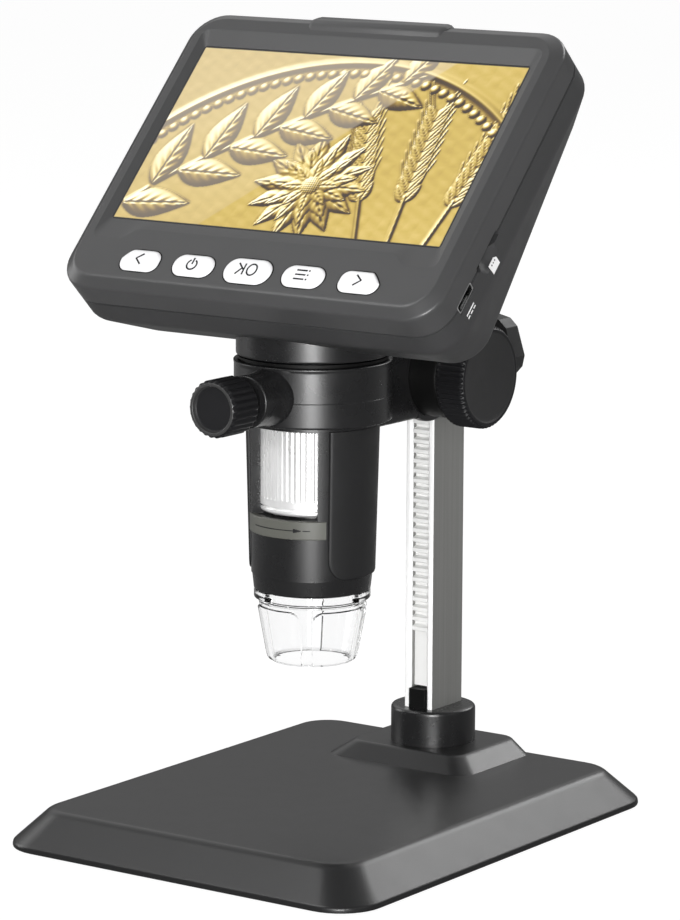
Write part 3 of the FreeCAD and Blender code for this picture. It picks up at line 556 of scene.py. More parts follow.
# Stand
@dataclass
class Stand:
    """Bevelled base, pedestal pad, socket and column."""

    half_x: float = 52.5
    half_y: float = 66.1
    corner: float = 11.0
    top: float = 9.4
    bevel: float = 7.4
    column_y: float = 44.4
    column_half: Pair = (4.15, 6.9)
    column_levels: tuple[float, ...] = (12.0, 22.0, 60.0, 100.0, 149.8)

    def base(self) -> None:
        """Base cover: rounded rectangles whose inset and height follow an eased path over lip and bevel."""
        path = eased([[2.6, 2.6], [2.6, 0.3], [0.0, 0.3], [0.0, 1.5], [self.bevel, self.top],
                      [20.0, self.top]], [0, 0.1, 0.25, 0.5, 1.3, 0], 6)
        rings = np.array([levelled(self.inset_ring(inset), z) for inset, z in path])
        fit(stacked("base_body", rings), Body.STAND, Finish.BASE, "base_cover", "base_cover")

    def inset_ring(self, inset: float) -> np.ndarray:
        """The base's outline drawn in by inset, its corner radius falling by 0.42 of the inset."""
        x, y = self.half_x - inset, self.half_y - inset
        return rounded_ring(-x, x, -y, y, max(self.corner - 0.42 * inset, 2.0))

    def pad(self) -> None:
        """Pedestal pad: outlines that shrink from foot to top, the top rim eased."""
        foot = [-21.5, 21.5, 26.3, 58.7, 5.0, self.top - 0.1]
        rim = [-16.5, 16.5, 31.0, 58.1, 4.0, 13.0]
        crown = [-12.0, 12.0, 35.0, 54.0, 2.0, 13.0]
        rows = eased([foot, rim, crown], [0, 1.2, 0], 6)
        rings = np.array([levelled(rounded_ring(*outline), z) for *outline, z in rows])
        fit(stacked("base_pad", rings), Body.STAND, Finish.BASE, "base_cover")

    def socket(self) -> None:
        """Round socket with eased rims round the column's foot."""
        path = eased([[8.0, 12.8], [10.65, 12.8], [10.65, 22.0], [6.0, 22.0]], [0, 0.1, 1.0, 0])
        fit(stacked("socket_ring", aimed(turned(path), (0, self.column_y, 0), "+z")),
            Body.STAND, Finish.BARREL, "column_socket", "column_socket")

    def column(self) -> None:
        """Column: its channel outline, with eased corners, carried straight up; its front faces, the two lips,
        get a near-white finish that paints their highlight.
        """
        hx, hy = self.column_half
        front, back = self.column_y - hy, self.column_y + hy
        half = [[0, back], [hx, back], [hx, front], [2.9, front], [2.3, front + 0.6], [2.3, front + 4.0],
                [0, front + 4.0]]
        right = eased(half, [0, 0.5, 0.45, 0.15, 0.2, 0.1, 0], 3)
        outline = np.vstack([right, right[-2:0:-1] * [-1, 1]])[::-1]
        rings = np.array([levelled(outline, z) for z in self.column_levels])
        piece = fit(end_filled("column_bar", rings), Body.STAND, Finish.COLUMN, "column", "column")
        # Faces that face the front get the near-white finish, a painted highlight on the lips.
        refinish(piece, Finish.COLUMN_PAINTED_HIGHLIGHT, face_values(piece, "normal")[:, 1] < -0.35)

    def build(self) -> None:
        """Make every piece of the stand."""
        self.base()
        self.pad()
        self.socket()
        self.column()


# Carriage
@dataclass
class Carriage:
    """Bracket on the column, its collar, and the knobs it carries."""

    barrel_y: float = -8.46
    collar: tuple[float, float, float, float] = (19.1, 17.6, 102.5, 116.9)
    pinion: Pair = (33.6, 108.9)
    half: float = 6.5
    block_low: float = 97.8
    block_high: float = 121.0
    column_bore: tuple[float, float, float, float] = (4.32, 37.2, 51.6, 0.5)
    knob_foot: float = 14.9
    knob_height: float = 8.4
    knob_radius: float = 12.7
    knob_flutes: Flutes = (60, 0.55, 1.6)
    dish_radius: float = 11.15
    lock_z: float = 109.6
    lock_apothem: float = 9.6
    lock_cut: float = 1.7
    lock_turn: float = 17.5
    lock_neck: float = 0.5
    thumb_z: float = 109.7
    thumb_flutes: Flutes = (26, 0.42, 2.4)

    def collar_ring(self) -> None:
        """Collar: outer wall with a slight step at its middle, eased rims, straight bore."""
        outer, bore, low, high = self.collar
        waist = outer - 0.12
        path = eased([[bore, low], [outer, low], [outer, low + 6.0], [waist, low + 6.2], [waist, high - 0.9],
                      [outer, high - 0.5], [outer, high], [bore, high]],
                     [0, 0.5, 0.1, 0.1, 0.3, 0.2, 0.35, 0], 4)
        rings = turned(np.vstack([path, path[:1]]), 160)
        fit(looped("collar_ring", aimed(rings, (0, self.barrel_y, 0), "+z")),
            Body.CARRIAGE, Finish.BARREL, "bracket", "bracket")

    def arm(self) -> None:
        """Arm: rounded sections carried along Y from the collar, rising to the block's top."""
        stations = ((10.2, 6.2, 116.9), (12.5, 6.3, 116.9), (16.0, 6.4, 116.9), (20.0, 6.5, 116.9),
                    (22.5, 6.5, 117.6), (24.0, 6.5, 118.9), (28.0, 6.42, 120.6), (30.0, 6.38, 120.7))
        rings = []
        for y, wide, top in stations:
            ring = rounded_ring(-wide, wide, self.block_low + 0.05, top, 1.2, corner_steps=5)
            rings.append(np.stack([-ring[:, 0], np.full(len(ring), y), ring[:, 1]], 1))
        fit(stacked("carriage_arm", np.array(rings)), Body.CARRIAGE, Finish.BARREL, "bracket")

    def block(self) -> None:
        """Block round the column: the wall goes up, turns over an eased rim and comes down the bore."""
        low, high = self.block_low, self.block_high
        rim = [5.4, 27.1, 54.4, 1.0]
        wall = [self.half, 26.0, 55.5, 1.6]
        bore = [*self.column_bore]
        rows = eased([[*bore, low], [*rim, low], [*wall, low], [*wall, high], [*rim, high], [*bore, high]],
                     [0, 0, 0.9, 0.9, 0, 0])
        rings = [levelled(rounded_ring(-wide, wide, y0, y1, radius), z)
                 for wide, y0, y1, radius, z in np.vstack([rows, rows[:1]])]
        fit(looped("carriage_block", np.array(rings)), Body.CARRIAGE, Finish.BARREL, "bracket")

    def beside(self, rings: np.ndarray, sign: int, reach: float) -> np.ndarray:
        """Rings drawn about +Z, laid on the pinion's axis at reach to the right (1) or left (-1)."""
        return aimed(rings, (sign * reach, *self.pinion), "+x" if sign > 0 else "-x")

    def bosses(self) -> None:
        """Round boss on each side of the block, and the deep black bearing housing outside it."""
        near, far = 4.4, self.half + 0.05
        boss = turned(eased([[8.0, near], [12.4, near], [12.5, near + 0.1], [12.5, far], [8.0, far]],
                            [0, 0, 0, 1.0, 0]))
        hub = turned(eased([[5.0, 0.0], [11.0, 0.0], [11.0, 8.1], [3.0, 8.1]], [0, 0.2, 0.9, 0]))
        for sign, side in SIDES:
            fit(stacked("carriage_boss_" + side, self.beside(boss, sign, 0.0)), Body.CARRIAGE,
                Finish.BARREL, "bracket")
            fit(stacked("bearing_hub_" + side, self.beside(hub, sign, self.half)), Body.CARRIAGE,
                Finish.HUB, "bearing_cap_" + side, "bearing_cap_" + side)

    def focus_knobs(self) -> None:
        """Ridged knobs whose faces are shallow dishes with their own finish."""
        height, radius = self.knob_height, self.knob_radius
        path = eased([[3.0, 0.0], [radius - 0.9, 0.0], [radius, 0.9], [radius, height - 0.9],
                      [radius - 0.9, height], [11.25, height], [10.6, height - 0.35], [4.0, height - 1.25]],
                     [0, 0.2, 0.4, 0.4, 0.2, 0.15, 0.8, 0], 3)
        share = smooth_step(path[:, 0], radius - 0.75, radius - 0.2)
        rings = fluted(turned(path, 480), self.knob_flutes, share)
        for sign, side in SIDES:
            knob = fit(stacked("knob_" + side, self.beside(rings, sign, self.knob_foot), 30.0, -0.15),
                       Body.FOCUS_SHAFT, Finish.KNOB, "focus_knob_" + side, "focus_knob_" + side)
            x, y, z = face_values(knob, "center").T / MM
            inside = np.hypot(y - self.pinion[0], z - self.pinion[1]) < self.dish_radius
            refinish(knob, Finish.DISH, inside & (np.abs(x) > self.knob_foot + 4))

    def lock_knob(self) -> None:
        """Six-sided knob with cut corners: a twelve-point ring carried along Y to a dished end.

        The path gives each ring's size as a share of the knob's, and its place along Y. Its first
        two rings are the narrower neck.
        """
        facet = self.lock_apothem * math.tan(math.pi / 6) - self.lock_cut
        middle = np.radians(self.lock_turn + 60 * np.arange(6))[:, None]
        across = np.array([-facet, facet])[None, :]
        x = (self.lock_apothem * np.cos(middle) - across * np.sin(middle)).ravel()
        z = (self.lock_apothem * np.sin(middle) + across * np.cos(middle)).ravel()
        path = eased([[0.55, 57.6], [0.55, 63.6], [1.0, 63.8], [1.0, 69.8], [0.66, 69.8], [0.62, 69.0],
                      [0.3, 69.0]], [0, 0.1, 0.1, 0.8, 0.1, 0.1, 0], 4)
        path[:2, 0] = self.lock_neck
        share, y = path[:, :1], path[:, 1:]
        rings = np.stack([x * share, y + 0 * x, self.lock_z + z * share], -1)[:, ::-1]
        fit(stacked("lock_knob_body", rings, 20.0), Body.LOCK, Finish.DISH, "lock_knob", "lock_knob")

    def thumb(self) -> None:
        """Thumb boss flared into the collar, and the ridged knob with its recessed face and smooth rim."""
        foot = (0, self.barrel_y, self.thumb_z)
        flare = eased([[7.1, 17.0], [7.1, 18.3], [6.35, 20.8], [6.3, 23.0], [6.3, 27.5], [3.0, 27.5]],
                      [0, 1.0, 2.0, 1.0, 0.5, 0])
        fit(stacked("thumb_boss", aimed(turned(flare), foot, "-y")), Body.CARRIAGE, Finish.BARREL, "bracket")
        path = eased([[3.6, 27.8], [4.2, 27.8], [4.2, 30.4], [6.0, 30.4], [6.9, 31.2], [6.9, 39.8],
                      [6.2, 40.6], [5.5, 40.6], [5.2, 39.6], [2.0, 39.4]],
                     [0, 0.1, 0.1, 0.3, 0.4, 0.5, 0.3, 0.2, 0.3, 0], 3)
        rings = fluted(turned(path, 312), self.thumb_flutes, smooth_step(path[:, 0], 6.25, 6.6))
        knob = fit(stacked("thumb_knob_body", aimed(rings, foot, "-y"), 30.0), Body.CLAMP, Finish.KNOB,
                   "thumb_knob", "thumb_knob")
        x, y, z = face_values(knob, "center").T / MM
        radius = np.hypot(x, z - self.thumb_z)
        refinish(knob, Finish.RIM, (self.barrel_y - y > 39.8) & (radius > 5.15) & (radius < 6.22))

    def build(self) -> None:
        """Make every piece of the carriage."""
        self.collar_ring()
        self.arm()
        self.block()
        self.bosses()
        self.focus_knobs()
        self.lock_knob()
        self.thumb()


# Barrel
@dataclass
class Barrel:
    """Barrel with its window, grips, focus wheel, nose and clear hood.

    Azimuths are degrees from the front, rising anticlockwise seen from above.
    """

    axis_y: float = -8.46
    foot: float = 65.0
    foot_radius: float = 14.75
    cone_rise: float = 0.55
    upper_radius: float = 18.5
    neck: float = 16.25
    window: Triple = (40.0, 79.7, 101.5)
    pocket_radius: float = 10.7
    band: Triple = (48.0, 75.3, 79.7)
    grip_front: float = 50.0
    grip_back: float = 143.0
    wheel_flutes: Flutes = (60, 0.15, 2.0)
    panel: float = 74.0
    panel_half: float = 39.0
    panel_head: float = 57.2
    panel_corner: float = 3.0
    panel_rise: float = 0.55
    flange_cut: float = 0.95
    gaps: float = 35.0

    def placed(self, radius: np.ndarray, azimuth: np.ndarray, z: np.ndarray) -> np.ndarray:
        """Points from radius, azimuth and height, which are stretched to one shape."""
        radius, azimuth, z = np.broadcast_arrays(radius, azimuth, z)
        angle = np.radians(azimuth - 90)
        return np.stack([radius * np.cos(angle), self.axis_y + radius * np.sin(angle), z], -1)

    def upper(self) -> None:
        """Upper cylinder: straight wall whose top slopes up towards the back inside the housing."""
        azimuth = np.linspace(0, 360, 128, endpoint=False)[None, :]
        radius = self.upper_radius
        path = eased([[12.0, 118.1], [radius, 118.1], [radius, 120.0]], [0, 0.5, 0], 4)
        top = 142.0 - 0.70 * radius * np.cos(np.radians(azimuth))
        rings = np.vstack([self.placed(path[:, :1], azimuth, path[:, 1:]), self.placed(radius, azimuth, top)])
        fit(stacked("barrel_upper", rings), Body.MICROSCOPE, Finish.BARREL, "barrel_shell")

    def lower(self) -> None:
        """Lower barrel as r(azimuth, z): a slow cone, less a window pocket at the front.

        The radius rises evenly from the foot to the window's head, then steps out to the neck.
        Inside the window it drops to the pocket's radius within a third of a degree and 0.15 mm.
        """
        half, low, high = self.window
        edge = np.array([-0.2, 0.2])
        a = np.unique(np.concatenate([np.linspace(-180, 180, 181)[:-1], half + edge, -half + edge]))[None, :]
        levels = np.concatenate([np.linspace(self.foot, high, 40), low + edge / 3, [101.2, 101.3]])
        h = np.unique(levels)[:, None]
        cone = self.foot_radius + self.cone_rise * (h - self.foot) / (high - self.foot)
        inside = (smooth_step(half - np.abs(a), -0.18, 0.18) * smooth_step(h, low - 0.06, low + 0.06)
                  * (1 - smooth_step(h, 101.2, 101.3)))
        body = self.placed(cone - (cone - self.pocket_radius) * inside, a, h)
        foot = self.placed(13.4, a, self.foot)
        neck = [self.placed(r, a, z) for r, z in ((self.neck, high), (self.neck, 118.3), (10.0, 118.3))]
        fit(stacked("barrel_body", np.concatenate([foot, body, *neck])), Body.MICROSCOPE, Finish.BARREL,
            "barrel_shell", "barrel_shell")

    def grips(self) -> None:
        """Side grips: raised skins whose front corners are rounded at the foot and whose rims are eased.

        The height above the cone is the product of two eased edges; below a corner radius of
        5 mm from the foot the front edge bends away by 1 - sqrt(1 - t^2).
        """
        tall = 101.5 - self.foot
        up = np.concatenate([[0, 0.25, 0.5, 0.8, 1.2], np.linspace(1.8, tall - 0.2, 40)])[:, None]
        t = np.concatenate([[0, 0.004, 0.010, 0.02, 0.04], np.linspace(0.06, 0.94, 36),
                            [0.96, 0.98, 0.99, 0.996, 1]])[None, :]
        start = self.grip_front + np.degrees(5.0 * self.quarter(up / 5.0) / 15.3)
        azimuth = start + t * (self.grip_back - start)
        cone = self.foot_radius + self.cone_rise * up / tall
        rise = (0.45 + 0.40 * up / tall) * (1 - self.quarter(up / 0.8)) * (
            1 - self.quarter(np.minimum(t, 1 - t) / 0.02))
        z = self.foot + 0.05 + up
        for side, name in SIDES:
            outer = self.placed(cone + rise, side * azimuth, z)
            inner = self.placed(cone - 0.6, side * azimuth, z)
            rings = np.concatenate([outer, inner[:, ::-1]], 1)[:, ::side]
            fit(end_filled("grip_" + name, rings), Body.MICROSCOPE, Finish.GRIP, "side_grip_" + name,
                "side_grip_" + name)

    @staticmethod
    def quarter(t: np.ndarray) -> np.ndarray:
        """Quarter-circle easing: 1 at t = 0, falling along 1 - sqrt(1 - (1 - t)^2) to 0 at t = 1."""
        return 1 - np.sqrt(np.clip(1 - (1 - np.clip(t, 0, 1)) ** 2, 0, 1))

    def bent_plate(self, name: str, half: float, low: float, high: float, near: float, far: float,
                   ease: float = 0.0, shift: float = 0.0) -> Piece:
        """Plate bent round the barrel: an eased rectangle in (radius, height) carried round an arc.

        Args:
            name: piece name.
            half: half its angle in degrees.
            low, high: its heights.
            near, far: its inner and outer radius.
            ease: rounding of the two outer edges.
            shift: azimuth of its middle.

        Returns:
            The new object.
        """
        section = eased([[near, low], [far, low], [far, high], [near, high]], [0, ease, ease, 0], 3)
        azimuth = shift + np.linspace(half, -half, 33)[:, None]
        return end_filled(name, self.placed(section[:, 0], azimuth, section[:, 1]))

    def arrow(self) -> None:
        """Olive band under the window with its fine arrow: a line, a stepped head and a dash."""
        half, low, high = self.band
        fit(self.bent_plate("arrow_band", half, low, high, 13.8, 15.2, 0.25), Body.MICROSCOPE, Finish.OLIVE,
            "arrow_plate", "arrow_plate")
        marks = [("line", 24.0, 0.22, -4.0), ("dash", 3.5, 0.22, 30.0)]
        marks += [(f"head_{step}", 0.9, 0.3 + 0.22 * step, 24.0 - 1.8 * step) for step in range(4)]
        middle = (low + high) / 2
        for name, wide, tall, shift in marks:
            mark = self.bent_plate("arrow_" + name, wide, middle - tall / 2, middle + tall / 2, 15.0, 15.24,
                                   shift=shift)
            fit(mark, Body.MICROSCOPE, Finish.MARK_BLACK, "arrow_plate")

    def wheel(self) -> None:
        """Focus wheel: 60 flutes above a plain band, a groove and a lower rim."""
        path = eased([[10.6, 80.3], [12.2, 80.3], [12.8, 80.8], [12.8, 81.5], [12.3, 81.7], [12.3, 81.95],
                      [12.9, 82.1], [12.9, 83.4], [13.0, 84.2], [13.0, 100.9], [10.6, 100.9]],
                     [0, 0.2, 0.2, 0.1, 0.05, 0.05, 0.1, 0.3, 0.3, 0.3, 0], 3)
        path = np.vstack([path, path[:1]])
        share = smooth_step(path[:, 1], 83.6, 84.3) * smooth_step(path[:, 0], 12.0, 12.6)
        rings = fluted(turned(path, 960), self.wheel_flutes, share)
        fit(looped("wheel_silver", aimed(rings, (0, self.axis_y, 0), "+z"), 40.0), Body.FOCUS_RING,
            Finish.WHEEL, "focus_wheel", "focus_wheel")

    def nose(self) -> None:
        """Nose ring with an eased lower rim round the hood's seat."""
        path = eased([[13.3, 64.2], [13.3, 61.0], [14.1, 61.0], [14.55, self.foot], [13.3, self.foot],
                      [13.3, 64.2]], [0, 0.05, 0.35, 0.1, 0, 0], 4)
        fit(looped("nose_body", aimed(turned(path, 128), (0, self.axis_y, 0), "+z")), Body.MICROSCOPE,
            Finish.BARREL, "nose_ring", "nose_ring")

    def hood(self) -> None:
        """Clear hood as r(azimuth, z): a tapered wall with four raised panels that have rounded heads.

        A point lies on a panel where its distances to the panel's side and head, joined round the
        head's corners, are positive; the wall stands 0.55 mm further out there. The flange is cut
        away at the front and back, and stays as a lobe on each side.
        """
        azimuth = np.linspace(0, 360, 480, endpoint=False)[None, :]
        wall_top, wall_foot = np.array([13.0, 58.2]), np.array([10.7, 45.6])
        outer = eased([[13.2, 65.3], [13.2, 60.8], [14.1, 60.8], [14.1, 58.9], wall_top, wall_foot,
                       [10.3, 43.9], [9.3, 43.3]], [0, 0.05, 0.2, 0.25, 0.8, 0.8, 0.5, 0])
        outer = np.vstack([outer, wall_top + np.linspace(0, 1, 62)[1:-1, None] * (wall_foot - wall_top)])
        outer = outer[np.lexsort((-outer[:, 0], -outer[:, 1]))]
        inner = eased([[9.0, 43.4], [9.5, 44.3], [9.95, 46.5], [11.95, 58.3], [12.2, 60.0], [12.2, 65.3]],
                      [0, 0.6, 1.6, 1.2, 0.6, 0], 6)
        wall, z = outer[:, :1], outer[:, 1:]
        off = np.abs((azimuth - self.panel + 45) % 90 - 45)
        side = wall * np.radians(np.clip(self.panel_half - off, -25, 40))
        head = np.clip(self.panel_head - z, -5, 20)
        corner = self.panel_corner
        round_head = corner - np.hypot(np.clip(corner - side, 0, None), np.clip(corner - head, 0, None))
        raised = smooth_step(np.minimum(np.minimum(side, head), round_head), 0.0, 0.22)
        raised = raised * (1 - smooth_step(z, 57.7, 58.0))
        flange = smooth_step(z, 58.0, 58.6) * (1 - smooth_step(z, 60.9, 61.0))
        gap = 1 - smooth_step(np.abs((azimuth - self.gaps + 90) % 180 - 90), 46.0, 54.0)
        shell_out = self.placed(wall + self.panel_rise * raised - self.flange_cut * flange * gap, azimuth, z)
        shell_in = self.placed(inner[:, :1], azimuth, inner[:, 1:])
        rings = np.concatenate([shell_out, shell_in, shell_out[:1]])[::-1]
        fit(looped("hood_clear", rings, 28.0), Body.HOOD, Finish.CLEAR, "hood", "hood")

    def build(self) -> None:
        """Make every piece of the barrel."""
        self.upper()
        self.lower()
        self.grips()
        self.arrow()
        self.wheel()
        self.nose()
        self.hood()


# Display housing
@dataclass
class Housing:
    """Two-part display housing, keys, sockets and marks.

    Openings are spans of v; each key is its middle u, width, height and corner radius.
    """

    origin: Triple = (0.0, -6.63, 168.18)
    tilt: float = 45.98
    half: float = 54.6
    low: float = -47.4
    high: float = 38.05
    corner: float = 8.7
    groove: float = 0.4
    plateau_lift: float = 3.1
    usb: Pair = (-38.6, -30.8)
    card: Pair = (-27.2, -15.8)
    dimmer: Pair = (-25.3, -14.7)
    notch: Triple = (-22.3, -7.4, 4.2)
    notch_depth: float = 1.9
    usb_depth: float = 7.0
    slot_depth: float = 9.0
    keys: dict[str, tuple[float, float, float, float]] = field(default_factory=lambda: {
        "left": (-31.7, 11.2, 6.2, 2.6), "power": (-15.9, 11.8, 6.3, 3.1), "ok": (0.0, 13.4, 7.2, 3.55),
        "menu": (15.9, 11.8, 6.3, 3.1), "right": (31.7, 11.2, 6.2, 2.6)})
    key_v: float = -39.5
    sign_width: float = 0.42
    sign_levels: Pair = (1.6, 1.83)

    def on_screen(self, points: np.ndarray) -> np.ndarray:
        """Tilt points from the housing's flat frame (u, v, w) into the row frame."""
        c, s = math.cos(math.radians(self.tilt)), math.sin(math.radians(self.tilt))
        u, v, w = points[..., 0], points[..., 1], points[..., 2]
        return np.stack([u, c * v - s * w, s * v + c * w], -1) + np.array(self.origin)

    def stations(self) -> np.ndarray:
        """Fractions up the housing's sides that put grid lines on the edges of every side opening."""
        v0, v1 = self.low + self.corner, self.high - self.corner
        edges = np.array([*self.usb, *self.card, *self.dimmer])
        lines = np.concatenate([np.linspace(v0, v1, 24)[1:-1], edges - 0.05, edges + 0.05,
                                np.linspace(-27.5, -17.0, 22)])
        lines = np.unique(lines[(lines > v0 + 0.02) & (lines < v1 - 0.02)])
        return (lines - v0) / (v1 - v0)

    def wall_row(self, w: float, inset: float = 0.0) -> list[float]:
        """Row of the side wall at w, drawn in by an inset."""
        return [self.half - inset, self.low + inset, self.high - inset, self.corner - inset, w, 0.0]

    def rings(self, rows: list[list[float]], radii: list[float]) -> tuple[np.ndarray, np.ndarray]:
        """Rings of the housing through eased rows.

        Args:
            rows: half width, low v, high v, corner radius, w and slope of each row.
            radii: easing at each row.

        Returns:
            The eased rows and their rings.
        """
        path = eased(rows, radii, 6)
        along, up = np.linspace(0, 1, 61)[1:-1], self.stations()
        flat = np.array([rounded_ring(-wide, wide, low, high, radius, along, up)
                         for wide, low, high, radius in path[:, :4]])
        level = path[:, 4:5] + path[:, 5:] * flat[..., 1]
        return path, np.concatenate([flat, level[..., None]], -1)

    def sunk(self, rings: np.ndarray) -> np.ndarray:
        """Push side-wall points inward where a socket, the card's finger notch or the wheel slot opens.

        Sockets are straight-sided pockets; the finger notch is a bowl whose depth is its full depth
        times 1 - d^2 over a disc round its middle.
        """
        u, v, w = rings[..., 0], rings[..., 1], rings[..., 2]
        wall = np.abs(u) > 53.9
        right, left = wall & (u > 0), wall & (u < 0)
        usb = right & (v > self.usb[0]) & (v < self.usb[1]) & (w < -6.6) & (w > -9.2)
        card = right & (v > self.card[0]) & (v < self.card[1]) & (w < -6.6) & (w > -8.2)
        wheel = left & (v > self.dimmer[0]) & (v < self.dimmer[1]) & (w < -8.0) & (w > -11.2)
        notch_v, notch_w, notch_radius = self.notch
        reach = ((v - notch_v) ** 2 + (w - notch_w) ** 2) / notch_radius**2
        bowl = np.where(right & (w < -7.2), self.notch_depth * np.clip(1 - reach, 0, 1), 0)
        inward = np.where(usb, self.usb_depth, 0) + np.where(card, self.slot_depth, bowl)
        rings[..., 0] = u - inward + np.where(wheel, self.slot_depth, 0)
        return rings

    def bezel(self) -> None:
        """Front shell: rings that rise over the side, round the front edge and fall to the screen.

        The lower slope of the screen's recess is lifted over the middle three keys, so that the
        key plateau there is taller.
        """
        rows = [[50.0, -43.0, 33.0, 5.0, -7.35, 0], self.wall_row(-7.35, self.groove),
                self.wall_row(-7.12, self.groove), *map(self.wall_row, (-7.02, -6.63, -6.57, -0.9)),
                [52.0, -44.9, 35.3, 7.4, 0.96, 0], [49.8, -33.7, 31.8, 2.4, 0.96, 0],
                [47.7, -27.1, 27.1, 0.8, 0.05, 0], [47.5, -26.95, 26.95, 0.7, -1.03, 0]]
        path, rings = self.rings(rows, [0, 0.1, 0.05, 0.05, 0, 0, 0.9, 0.9, 0.5, 0.1, 0])
        low, w = path[:, 1], path[:, 4]
        beyond = low + 33.7
        weight = np.where(np.abs(beyond) < 1.2, 1.0, np.clip(1 - beyond / 6.6, 0, 1))
        weight = weight * (low > -35.5) * (w > 0.0)
        lift = self.plateau_lift * (1 - smooth_step(np.abs(rings[..., 0]), 37.0, 41.5))
        bottom = rings[..., 1] < low[:, None] + 0.5
        rings[..., 1] += np.where(bottom, weight[:, None] * lift, 0)
        fit(stacked("bezel_front", self.on_screen(self.sunk(rings)), 24.0), Body.MICROSCOPE, Finish.CASE,
            "front_bezel", "front_bezel")

    def tab(self) -> None:
        """Raised tab along the top edge: one section in v and w carried across u, its ends drawn in."""
        section = eased([[33.0, -3.0], [33.0, 0.9], [34.9, 1.35], [36.6, 1.1], [39.05, -0.8], [39.05, -6.3],
                         [37.0, -6.6], [33.0, -3.0]], [0, 0.1, 0.6, 0.5, 0.5, 0.5, 0.1, 0], 3)[:-1]
        middle = np.array([35.5, -2.0])
        ends = ((20.0, 0.80), (19.4, 0.93), (18.4, 1.0), (-18.4, 1.0), (-19.4, 0.93), (-20.0, 0.80))
        rings = [np.column_stack([np.full(len(section), u), middle + (section - middle) * share])
                 for u, share in ends]
        fit(end_filled("bezel_tab", self.on_screen(np.array(rings))), Body.MICROSCOPE, Finish.CASE,
            "front_bezel")

    def rear(self) -> None:
        """Rear shell: the side wall runs back, then rings shrink onto the sloping back plane."""
        levels = (-14.0, -11.23, -11.17, -9.23, -9.17, -8.23, -8.17, -8.03, -7.97, -7.75)
        rows = [[40.0, -30.0, 26.0, 5.0, -25.0, 0.13], [50.0, -38.3, 33.9, 8.0, -25.0, 0.13],
                *map(self.wall_row, levels), self.wall_row(-7.65, self.groove),
                self.wall_row(-7.4, self.groove), [50.0, -43.0, 33.0, 5.0, -7.4, 0]]
        rings = self.rings(rows, [0, 1.8, 1.2, *[0] * 8, 0.05, 0.05, 0.1, 0])[1]
        fit(stacked("case_rear", self.on_screen(self.sunk(rings)), 24.0), Body.MICROSCOPE, Finish.CASE_BACK,
            "rear_shell", "rear_shell")

    def key_cap(self, name: str) -> None:
        """White key, its rim stepped in and its crown slightly domed, and a deep black ring round it that
        paints the shade of the gap.

        On the two outer keys the upper outer corner is drawn in by 2.2 mm times its height share.
        """
        centre, wide, tall, radius = self.keys[name]
        rows = eased([[0.0, -1.6], [0.0, 1.15], [0.55, 1.68], [1.3, 1.76]], [0, 0.3, 0.4, 0])
        rings = np.array([levelled(rounded_ring(centre - wide / 2 + inset, centre + wide / 2 - inset,
                                                self.key_v - tall / 2 + inset, self.key_v + tall / 2 - inset,
                                                max(radius - inset, 0.4)), w) for inset, w in rows])
        outward = {"left": -1, "right": 1}.get(name, 0)
        share = np.clip(outward * (rings[..., 0] - centre) / (wide / 2), 0, 1) ** 2
        up = np.clip((rings[..., 1] - self.key_v) / (tall / 2), 0, 1)
        rings[..., 0] -= outward * 2.2 * share * up
        fit(stacked("key_cap_" + name, self.on_screen(rings), 40.0, 0.06), Body["KEY_" + name.upper()],
            Finish.KEY, "button_" + name, "button_" + name)
        # The ring round the key is a deep black band on the bezel: painted shade standing in for the open gap.
        outline = rings[0, :, :2]
        away = outline - np.array([centre, self.key_v])
        away /= np.linalg.norm(away, axis=1, keepdims=True)
        gap = [levelled(outline + away * grow, w)
               for grow, w in ((0.0, 0.80), (0.32, 0.80), (0.32, 1.0), (0.0, 1.0), (0.0, 0.80))]
        fit(looped("key_gap_shade_" + name, self.on_screen(np.array(gap))), Body.MICROSCOPE, Finish.HUB,
            "front_bezel")

    def stroke(self, key: str, name: str, line: np.ndarray) -> None:
        """Flat black ribbon of constant width along a line in u and v, on top of a key."""
        way = np.gradient(line, axis=0)
        way /= np.linalg.norm(way, axis=1, keepdims=True)
        side = np.stack([-way[:, 1], way[:, 0]], 1) * self.sign_width / 2
        left, right = line + side, line - side
        low, high = self.sign_levels
        corners = [levelled(right, low), levelled(right, high), levelled(left, high), levelled(left, low)]
        fit(end_filled("sign_" + name, self.on_screen(np.stack(corners, 1))), Body["KEY_" + key.upper()],
            Finish.MARK_BLACK, "button_" + key)

    @staticmethod
    def segment(start: Pair, end: Pair) -> np.ndarray:
        """Twelve points on a straight line."""
        return np.array(start) + (np.array(end) - np.array(start)) * np.linspace(0, 1, 12)[:, None]

    @staticmethod
    def ellipse(cx: float, cy: float, rx: float, ry: float, start: float = 0.0,
                end: float = 360.0) -> np.ndarray:
        """Points round an ellipse between two angles in degrees."""
        angle = np.radians(np.linspace(start, end, 49))
        return np.stack([cx + rx * np.cos(angle), cy + ry * np.sin(angle)], 1)

